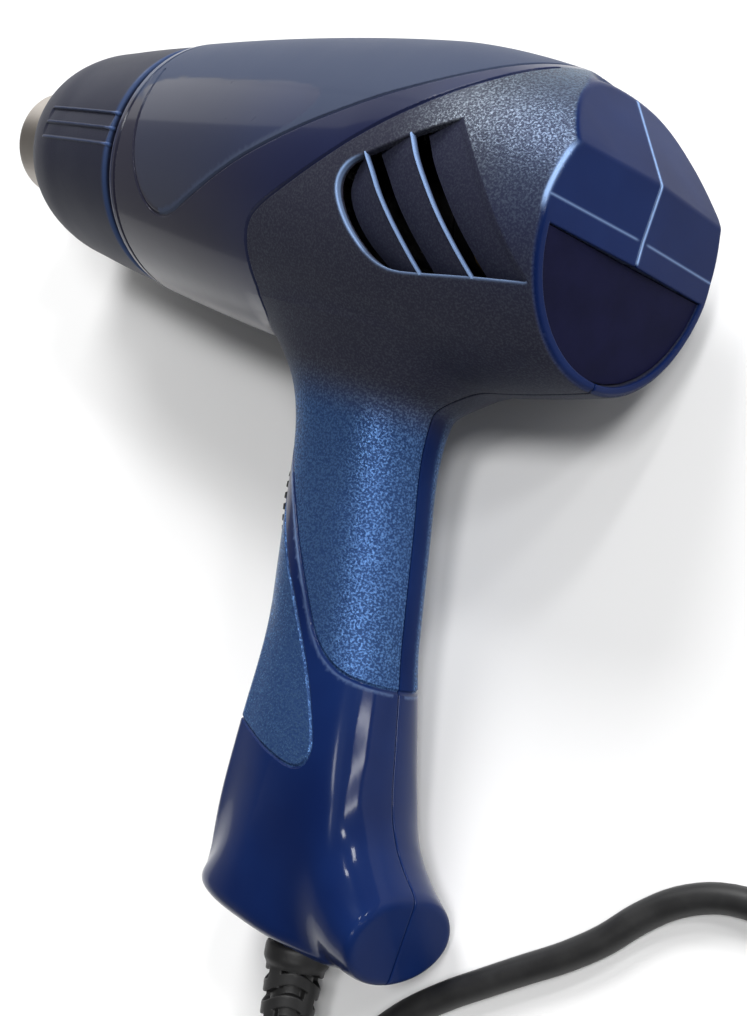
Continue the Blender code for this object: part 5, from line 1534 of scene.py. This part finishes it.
@dataclass
class Lead:
    """The mains lead: from the strain relief along the floor, into its coil, and on to the plug.

    Sizes are in metres, and a row of the route is in millimetres from the exit and above the floor.
    """

    length: float = 1.8
    radius: float = 0.0035
    fit: float = 0.0003
    exit: tuple = (0.10099, -0.1321, 0.0099)
    out: tuple = (0.19451, -0.96978, -0.1473)
    route: tuple = (
        (2.2, -15.4, 3), (1.3, -25.9, 1), (-2.5, -37.4, 0), (-8.5, -48.9, 0), (-14.5, -60.9, 0),
        (-17.5, -73.9, 0), (-14.5, -87.4, 0), (-5, -98.4, 0), (9.5, -102.9, 0), (24.5, -99.9, 0),
        (35.5, -89.9, 0), (39.5, -75.9, 0), (37.5, -61.9, 0), (31.5, -48.9, 0), (24.5, -36.9, 0),
        (17.5, -24.4, 0), (12.2, -10.9, 0), (10, 3.1, 0), (10.3, 16.6, 0), (13.8, 28.1, 0), (19.8, 38.1, 0),
        (27.8, 47.1, 0), (36.3, 55, 0), (44.6, 62.5, 0), (52.6, 69.6, 0), (59.8, 77.3, 0), (65.6, 85.4, 0),
        (72.6, 92.6, 0), (81.8, 97.8, 0), (93, 99.9, 0), (106.5, 99.6, 0), (121, 99.6, 0), (136, 101.1, 0))
    coil_radius: float = 0.0388
    pitch: float = 0.0075
    steps: int = 24
    tail: float = 0.062
    sag: float = 0.005
    plug_height: float = 0.0124
    spacing: float = 0.0025

    def smooth(self, row: Sequence[Array]) -> tuple[Array, float]:
        """Points every few millimetres on a smooth curve through a row of points, and its length.

        Args:
            row: the points that the curve passes through.

        Returns:
            The curve's points and its length.
        """
        padded = [row[0] * 2 - row[1], *row, row[-1] * 2 - row[-2]]
        dense = np.array([0.5 * (2 * b + (c - a) * t + (2 * a - 5 * b + 4 * c - d) * t * t
                                 + (3 * b - a - 3 * c + d) * t ** 3)
                          for a, b, c, d in zip(padded, padded[1:], padded[2:], padded[3:])
                          for t in np.arange(12) / 12] + [row[-1]])
        run = np.concatenate(([0], np.cumsum(np.linalg.norm(np.diff(dense, axis=0), axis=1))))
        wanted = np.linspace(0, run[-1], round(run[-1] / self.spacing) + 1)
        return np.stack([np.interp(wanted, run, dense[:, i]) for i in range(3)], -1), run[-1]

    def centreline(self) -> tuple[Array, Array, Array]:
        """The lead's whole centreline.

        Returns:
            Its points, the plug's mouth and the direction there.
        """
        exit_at, out = np.array(self.exit), np.array(self.out)
        start, thick = exit_at + out * self.fit, 2 * self.radius
        row = [start + out * thick]
        row += [np.array((exit_at[0] + x * MM, exit_at[1] + y * MM, self.radius + z * MM)) for x, y, z in self.route]
        lead, lead_length = self.smooth(row)
        run = unit(lead[-1:] - lead[-2:-1])[0]
        heading = math.atan2(run[1], run[0])
        turns = (self.length - (lead_length + thick) - self.tail) / (2 * math.pi * self.coil_radius)
        reversal = turns / 2
        widest = self.coil_radius + self.pitch * reversal / 2
        begin = lead[-1] + run * self.fit + run * thick
        centre = begin + widest * np.array((math.sin(heading), -math.cos(heading), 0))
        wound = []
        for step in range(round(turns * self.steps) + 1):
            by = step / self.steps
            reach = widest - self.pitch * (reversal - abs(by - reversal))
            climb = min(1, max(0, (by - reversal) / 0.5 + 0.5))
            angle = heading + math.pi / 2 - 2 * math.pi * by
            wound.append(centre + reach * np.array((math.cos(angle), math.sin(angle), 0))
                         + np.array((0, 0, self.pitch * climb)))
        last = unit((wound[-1] - wound[-2])[None])[0]
        tail_start = wound[-1] + last * thick + last * self.fit
        mouth = tail_start + last * self.tail
        mouth[2] = self.plug_height
        near_end, far_end = tail_start + last * thick, mouth - last * thick
        tail = [near_end + (far_end - near_end) * step / 4 - np.array((0, 0, self.sag * math.sin(math.pi * step / 4)))
                for step in range(5)]
        tail, _ = self.smooth([tail_start, *tail, mouth])
        return np.array([start, *lead, *wound[1:], *tail, mouth])[:-1], mouth, last

    def build(self) -> tuple[bpy.types.Object, Array, Array]:
        """Make the lead as one curve.

        Returns:
            The lead, the plug's mouth and the direction there.
        """
        points, mouth, run = self.centreline()
        curve = bpy.data.curves.new("mains_lead", "CURVE")
        curve.dimensions = "3D"
        curve.bevel_depth = self.radius
        curve.bevel_resolution = 6
        curve.use_fill_caps = True
        spline = curve.splines.new("POLY")
        spline.points.add(len(points) - 1)
        for dot, place in zip(spline.points, points):
            dot.co = (*place, 1)
        spline.use_smooth = True
        curve.materials.append(Stock.RUBBER.value.material)
        piece = added("mains_lead", curve)
        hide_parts("cord_lead", "cord_coil", "cord_tail")
        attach(piece, "housing")
        log.info("mains_lead: %d points", len(points))
        return piece, mouth, run


@dataclass
class Plug:
    """The two-pin contour plug, with a grip waist and ribbed sides.

    A section is a place along the plug, half its width and half its height. The ridged and the ringed
    stretch are given by where they start and end.
    """

    sections: tuple = ((0, 4.4, 4.4), (16.8, 5.6, 5.6), (24, 12.3, 8.9), (30, 17.5, 12.1), (58, 17.5, 12.1))
    fit: float = 0.3
    bore: float = 3.7
    bore_depth: float = 2.4
    ridge: float = 0.55
    ridge_pitch: float = 3.2
    ridged: tuple = (33, 52)
    ring: float = 0.5
    ring_pitch: float = 2.6
    ringed: tuple = (3, 15)
    mould: Mould = Mould((-1.2, -19, -13.5), (59.6, 19, 13.5), 1.0, 2, 0.22, 12)

    def __post_init__(self) -> None:
        """Make the smooth outlines seen from above and from the side."""
        at, wide, tall = zip(*self.sections)
        self.length = at[-1]
        self.wide, self.tall = smooth_row(at, wide), smooth_row(at, tall)

    def form(self, p: Array) -> Array:
        """Distance to the plug's body, with X from its mouth to its face.

        Args:
            p: points.

        Returns:
            The distance at each point.
        """
        at, y, z = p.T
        half, high = self.wide(at), self.tall(at)
        body = oval(y, z, np.hypot(y / half, z / high) + TINY)
        body = soft_max(body, np.maximum(-at, at - self.length), 1.6)
        grip, rings = ((at > start) & (at < end) for start, end in (self.ridged, self.ringed))
        ridge = np.where(grip & (np.abs(y) > half * 0.62), self.ridge, 0)
        body = body + ridge * hump(at % self.ridge_pitch - self.ridge_pitch / 2, 0.8)
        body = body + np.where(rings, self.ring, 0) * hump(at % self.ring_pitch - self.ring_pitch / 2, 0.6)
        face = np.maximum(self.length - 0.8 - at, np.abs(np.hypot(y / 0.86, z / 0.8) - 12.2) - 0.35)
        body = soft_max(body, -face, 0.3)
        return soft_max(body, -np.maximum(np.hypot(y, z) - self.bore, at - self.bore_depth), 0.3)

    def build(self, mouth: Array, run: Array) -> bpy.types.Object:
        """Make the plug's body at the end of the lead.

        Args:
            mouth: where the lead enters it.
            run: the direction in which it lies.

        Returns:
            The plug's body.
        """
        ahead = np.array((run[0], run[1], 0)) / math.hypot(run[0], run[1])
        turn = np.stack((ahead, (-ahead[1], ahead[0], 0), (0, 0, 1)))
        net, normals = Net.moulded(self.form, self.mould)
        world = mouth + (net.points + (self.fit, 0, 0)) * MM @ turn
        net = Net((world - REST[:, 3]) @ REST[:, :3] / MM, net.faces)
        piece = mesh_piece("plug_shell", net, normals @ turn @ REST[:, :3], Stock.BLACK.value.material)
        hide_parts("plug_body")
        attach(piece, "housing")
        return piece


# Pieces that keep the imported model's shape, with their finishes


def numbered(name: str, count: int) -> list[str]:
    """Names of a row of like nodes."""
    return [f"{name}_{number}" for number in range(1, count + 1)]


KEPT = {
    Stock.PLATE: ("rating_plate",),
    Stock.BLACK: ("switch_body", "cord_clamp", "motor_end_cap", "motor_mount", "thermal_cutout",
                  *numbered("rectifier_diode", 4)),
    Stock.RUBBER: ("lead_inner_end", "mains_core_live", "mains_core_neutral"),
    Stock.ZINC: ("nozzle_flange", "motor_can", "motor_shaft", *numbered("clamp_screw", 2),
                 *numbered("housing_screw", 8)),
    Stock.MICA: ("mica_sleeve", "element_boards", "element_disc_front", "element_disc_rear"),
    Stock.WIRE: ("heating_coil",),
    Stock.NYLON: ("fan_wheel", "terminal_block", "switch_lever", "suppression_capacitor"),
    Stock.BOARD: ("rectifier_board",),
    Stock.BRASS: ("motor_bush_front", "motor_bush_rear", "switch_tab_left", "switch_tab_right",
                  "plug_pin_left", "plug_pin_right"),
}


def dress_kept() -> None:
    """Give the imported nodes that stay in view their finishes."""
    for stock, names in KEPT.items():
        for name in names:
            node = bpy.data.objects[name]
            node.data.materials.clear()
            node.data.materials.append(stock.value.material)
            log.info("%s: %s", name, stock.value.title)


# Studio


class Lamp(Enum):
    """The kinds of lamp in the studio."""

    SUN = "SUN"
    AREA = "AREA"


@dataclass
class Studio:
    """The pale floor, the soft lamps and the camera at the photograph's angle.

    The camera's place and directions are in the tool's frame, and its focal length is in pixels of the
    picture's height. A lamp has its azimuth and elevation in degrees. A sun's name comes before them, its
    strength and the angle that it fills after them. The streak's and the spots' power is in watts, and a
    lamp's size in metres.
    """

    position: tuple = (385.64, -58.09, 288.88)
    right: tuple = (0.67236, 0.32004, -0.66746)
    up: tuple = (-0.26033, 0.94633, 0.19152)
    back: tuple = (0.69294, 0.04499, 0.71959)
    focal: float = 1580.9
    frame_height: float = 1016.0
    sensor: float = 36.0
    floor_half: float = 12.0
    aim: tuple = (0.05, 0.03, 0.03)
    suns: tuple = (("key_sun", 118, 38, 2.3, 24), ("upper_sun", 12, 71, 0.9, 12),
                   ("rear_sun", 10, 56, 0.9, 12), ("rim_sun", 142, 8, 0.9, 60))
    streak: tuple = (22, 18)
    streak_power: float = 1.7
    streak_size: tuple = (0.022, 0.5)
    spots: tuple = ((33, 37), (54, 25), (70, 47))
    spot_power: float = 2.2
    spot_size: tuple = (0.12, 0.13)
    lamp_distance: float = 1.2

    def floor(self) -> None:
        """Make the floor, which shows white to the camera and keeps the object's shadow."""
        graph = Graph(bpy.data.materials.new("PaleFloor"))
        graph.dress(Base_Color=graph.mix(graph.noise(3, 2), (0.80, 0.80, 0.80), (0.84, 0.84, 0.84)),
                    Roughness=0.8, Specular_IOR_Level=0.1)
        mesh = bpy.data.meshes.new("studio_floor")
        corners = [(x * self.floor_half, y * self.floor_half, 0) for x, y in ((-1, -1), (1, -1), (1, 1), (-1, 1))]
        mesh.from_pydata(corners, [], [(0, 1, 2, 3)])
        mesh.materials.append(graph.owner)
        floor = added("studio_floor", mesh)

    def lamp(self, name: str, kind: Lamp, azimuth: float, elevation: float, energy: float, **settings: float) -> None:
        """Add a lamp that shines on the tool.

        Args:
            name: the lamp's name.
            kind: the kind of lamp.
            azimuth: where it stands, in degrees.
            elevation: how high it stands, in degrees.
            energy: its strength, or its power in watts.
            settings: other settings of the light.
        """
        light = bpy.data.lights.new(name, kind.value)
        light.energy = energy
        if kind is Lamp.AREA:
            light.shape = "RECTANGLE"
        for key, value in settings.items():
            setattr(light, key, value)
        lamp = added(name, light)
        turn, rise = math.radians(azimuth), math.radians(elevation)
        away = Vector((math.cos(rise) * math.cos(turn), math.cos(rise) * math.sin(turn), math.sin(rise)))
        lamp.location = Vector(self.aim) + away * self.lamp_distance
        lamp.rotation_mode = "QUATERNION"
        lamp.rotation_quaternion = (-away).to_track_quat("-Z", "Y")

    def camera(self) -> None:
        """Set the camera where the photograph was taken from."""
        data = bpy.data.cameras.new("view_camera")
        data.sensor_width = self.sensor
        data.lens = self.focal / self.frame_height * self.sensor
        data.clip_start, data.clip_end = 0.01, 20
        camera = added("view_camera", data)
        turn = Matrix([list(row) for row in turned_to_rest(np.array((self.right, self.up, self.back)))]).transposed()
        camera.matrix_world = Matrix.Translation(laid(np.array(self.position))) @ turn.to_4x4()
        bpy.context.scene.camera = camera

    def world(self) -> None:
        """Light the room softly: pale round the horizon, dimmer overhead."""
        graph = Graph(bpy.data.worlds.new("studio"), "Background", "Generated")
        rise = graph.node("ShaderNodeSeparateXYZ", {}, {0: graph.place}, "Z")
        bpy.context.scene.world = graph.dress(Color=(1, 1, 1), Strength=rise.between(0.3, 0.55, 0.4, 0.14))

    def build(self) -> None:
        """Set up floor, lamps, world and camera."""
        self.floor()
        for name, azimuth, elevation, energy, angle in self.suns:
            self.lamp(name, Lamp.SUN, azimuth, elevation, energy, angle=math.radians(angle))
        wide, tall = self.streak_size
        self.lamp("streak_lamp", Lamp.AREA, *self.streak, self.streak_power, size=wide, size_y=tall)
        wide, tall = self.spot_size
        for number, (azimuth, elevation) in enumerate(self.spots, 1):
            self.lamp(f"spot_lamp_{number}", Lamp.AREA, azimuth, elevation, self.spot_power, size=wide, size_y=tall)
        self.world()
        self.camera()
        bpy.context.scene.view_settings.view_transform = "Standard"


def main() -> None:
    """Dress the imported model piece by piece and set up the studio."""
    logging.basicConfig(level=logging.INFO, format="%(name)s %(message)s")
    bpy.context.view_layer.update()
    for part in (Housing(), HeatShield(), Nozzle(), Slider(), StrainRelief()):
        part.build()
    lead = Lead()
    cord, mouth, run = lead.build()
    plug = Plug().build(mouth, run)
    dress_kept()
    Studio().build()


if __name__ == "__main__":
    main()
